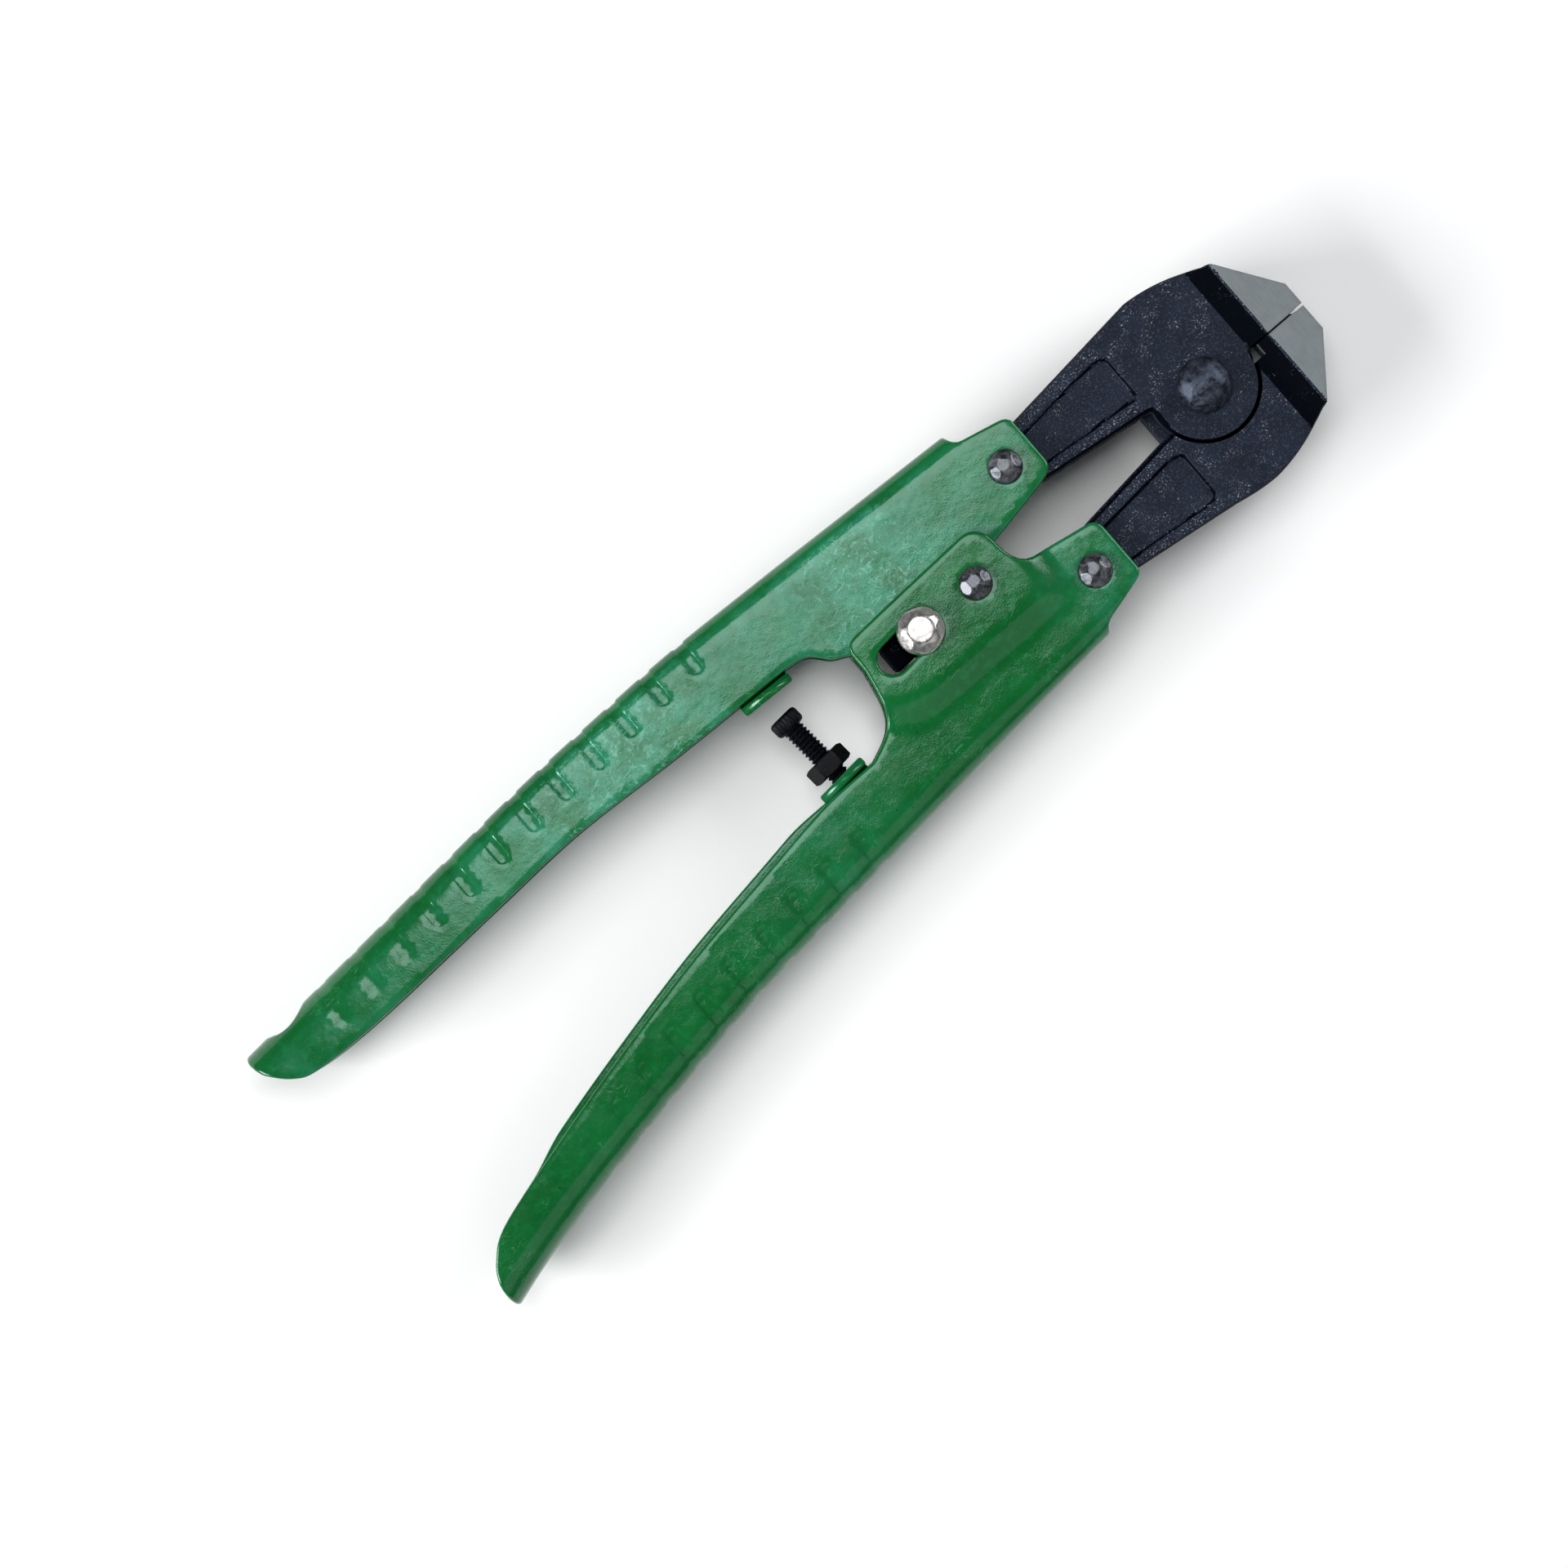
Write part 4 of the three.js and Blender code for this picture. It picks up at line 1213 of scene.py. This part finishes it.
SPRING_R = 4.55
SPRING_WIRE = 0.62
SPRING_TURNS = 5.5
SPRING_PITCH = 1.45
SPRING_HALF = SPRING_TURNS * SPRING_PITCH / 2
SPRING_LEG = [(-26, 19.4), (-13, 10.9), (-5, 5.6), (-2.2, 4.75)]


def wire(name, path, sides=12):
    """A closed round wire along a path of points."""
    path = [Vector(p) for p in path]
    rings = []
    for i, point in enumerate(path):
        way = (path[min(i + 1, len(path) - 1)] - path[max(i - 1, 0)]).normalized()
        side = way.orthogonal() if i == 0 else side
        side = (side - way * side.dot(way)).normalized()
        other = way.cross(side)
        rings.append([point + side * a + other * b for a, b, _ in ring(SPRING_WIRE, 0, sides)])
    verts, faces = shell(rings, capped=True)
    return add_object(name, verts, faces, [WIRE])




def spring_leg_path(side):
    """From the tip of the leg on one side of the pivot to the coil."""
    px, py, pz = HANDLE_PIVOT
    return [(px + x, py + side * y, pz + side * SPRING_HALF) for x, y in SPRING_LEG]


def spring_coil():
    """The coil and the leg on the lower handle's web."""
    px, py, pz = HANDLE_PIVOT
    per_turn = 36
    path = spring_leg_path(-1)
    for i in range(int(SPRING_TURNS * per_turn) + 1):
        angle = TAU * i / per_turn - math.pi / 2
        level = pz - SPRING_HALF + SPRING_PITCH * i / per_turn
        path.append((px + SPRING_R * math.cos(angle), py + SPRING_R * math.sin(angle), level))
    return wire("return_spring_coil", path)


def spring_leg():
    """The leg that turns with the upper handle."""
    px, py, pz = HANDLE_PIVOT
    path = spring_leg_path(1) + [(px + 0.4, py + SPRING_R, pz + SPRING_HALF)]
    return wire("return_spring_leg", path[::-1])


# ---- inner tubes ----


def tube(name, at, inner, outer, half, material):
    """A spacer tube with chamfered ends."""
    c = 0.25
    profile = [(inner, -half), (outer - c, -half), (outer, -half + c), (outer, half - c),
               (outer - c, half), (inner, half), (inner, -half)]
    return turned_piece(name, profile, at, material)


# ---- assembly ----


def install(obj, body, node):
    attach(obj, body)
    if node:
        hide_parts(node)


EAR_SEAT = CHANNEL_HALF + 0.05
LUG_SEAT = LUG_HALF + 0.05
install(lower_handle(), "lower_handle_body", "lower_handle")
install(upper_handle(), "upper_handle_body", "upper_handle")
install(lower_jaw(), "lower_jaw_body", "lower_jaw")
install(upper_jaw(), "upper_jaw_body", "upper_jaw")
install(pivot_bolt(), "lower_jaw_body", "jaw_pivot_bolt")
install(pivot_washer(), "lower_jaw_body", "jaw_pivot_washer")
install(pivot_nut(), "lower_jaw_body", "jaw_pivot_nut")
install(rivet("upper_jaw_rivet_pin", UPPER_EAR, 2.0, 3.0, EAR_SEAT, front=2.0, rear=1.8, seed=21),
        "upper_handle_body", "upper_jaw_rivet")
install(rivet("lower_jaw_rivet_pin", LOWER_EAR, 2.0, 3.0, EAR_SEAT, front=2.0, rear=1.8, seed=33),
        "lower_handle_body", "lower_jaw_rivet")
install(rivet("handle_pivot_pin", HANDLE_PIVOT, 2.2, 2.9, LUG_SEAT, front=2.0, rear=MID_Z - LUG_SEAT,
              seed=47),
        "lower_handle_body", "handle_pivot_rivet")
install(tube("handle_pivot_tube", HANDLE_PIVOT, 2.35, 3.5, 4.8, GUNMETAL),
        "lower_handle_body", "handle_pivot_bush")
install(lock_stud(), "lock_stud_body", "lock_stud")
install(stud_button(), "lock_stud_body", "lock_stud_button")
install(tube("lock_stud_tube", STUD, 2.6, 3.2, 6.4, OXIDE),
        "lock_stud_body", "lock_stud_sleeve")
install(stud_shade_block(), "lock_stud_body", None)
install(stop_screw(), "stop_screw_body", "stop_screw")
install(stop_nut(), "stop_lock_nut_body", "stop_lock_nut")
install(spring_coil(), "lower_handle_body", "return_spring")
install(spring_leg(), "upper_handle_body", None)


# ---- floor, light and camera ----


def floor():
    size = 6000
    verts = [(-size, -size, -0.15), (size, -size, -0.15), (size, size, -0.15), (-size, size, -0.15)]
    obj = add_object("floor", verts, [(0, 1, 2, 3)], [floor_paper()], flat=True)


def area_light(name, at, target, size, power):
    data = bpy.data.lights.new(name, "AREA")
    data.shape = "RECTANGLE"
    data.size = size[0] * MM
    data.size_y = size[1] * MM
    data.energy = power
    obj = bpy.data.objects.new(name, data)
    obj.location = Vector(at) * MM
    way = Vector(target) - Vector(at)
    obj.rotation_euler = way.to_track_quat("-Z", "Y").to_euler()
    bpy.context.scene.collection.objects.link(obj)


def studio():
    """A softbox above the upper handle, which its flat side reflects, and broad side lights
    that the flat faces don't send to the camera."""
    world = bpy.data.worlds.new("studio")
    bpy.context.scene.world = world
    world.use_nodes = True
    background = world.node_tree.nodes["Background"]
    background.inputs["Color"].default_value = (0.9, 0.95, 1.0, 1)
    background.inputs["Strength"].default_value = 0.15
    area_light("overhead", (-15, 272, 1000), (-15, 100, 0), (510, 500), 4.1)
    area_light("near_side", (-100, -900, 800), (-100, 0, 0), (1300, 800), 1.9)
    area_light("left_side", (-1150, 300, 600), (-100, 0, 0), (800, 400), 17.5)
    area_light("right_side", (1000, -60, 590), (-100, 0, 0), (800, 360), 7.0)


def camera():
    """Straight above, its right and up turned to the tool's slant in the picture."""
    data = bpy.data.cameras.new("camera")
    data.sensor_width = 36
    data.lens = 81
    obj = bpy.data.objects.new("camera", data)
    slant = math.radians(40.95)
    right = Vector((math.cos(slant), -math.sin(slant), 0))
    up = Vector((math.sin(slant), math.cos(slant), 0))
    turn = Matrix((right, up, Vector((0, 0, 1)))).transposed()
    obj.matrix_world = Matrix.Translation(Vector((-98, -4.4, 612.5)) * MM) @ turn.to_4x4()
    bpy.context.scene.collection.objects.link(obj)
    bpy.context.scene.camera = obj


floor()
studio()
camera()
bpy.context.scene.view_settings.view_transform = "Standard"
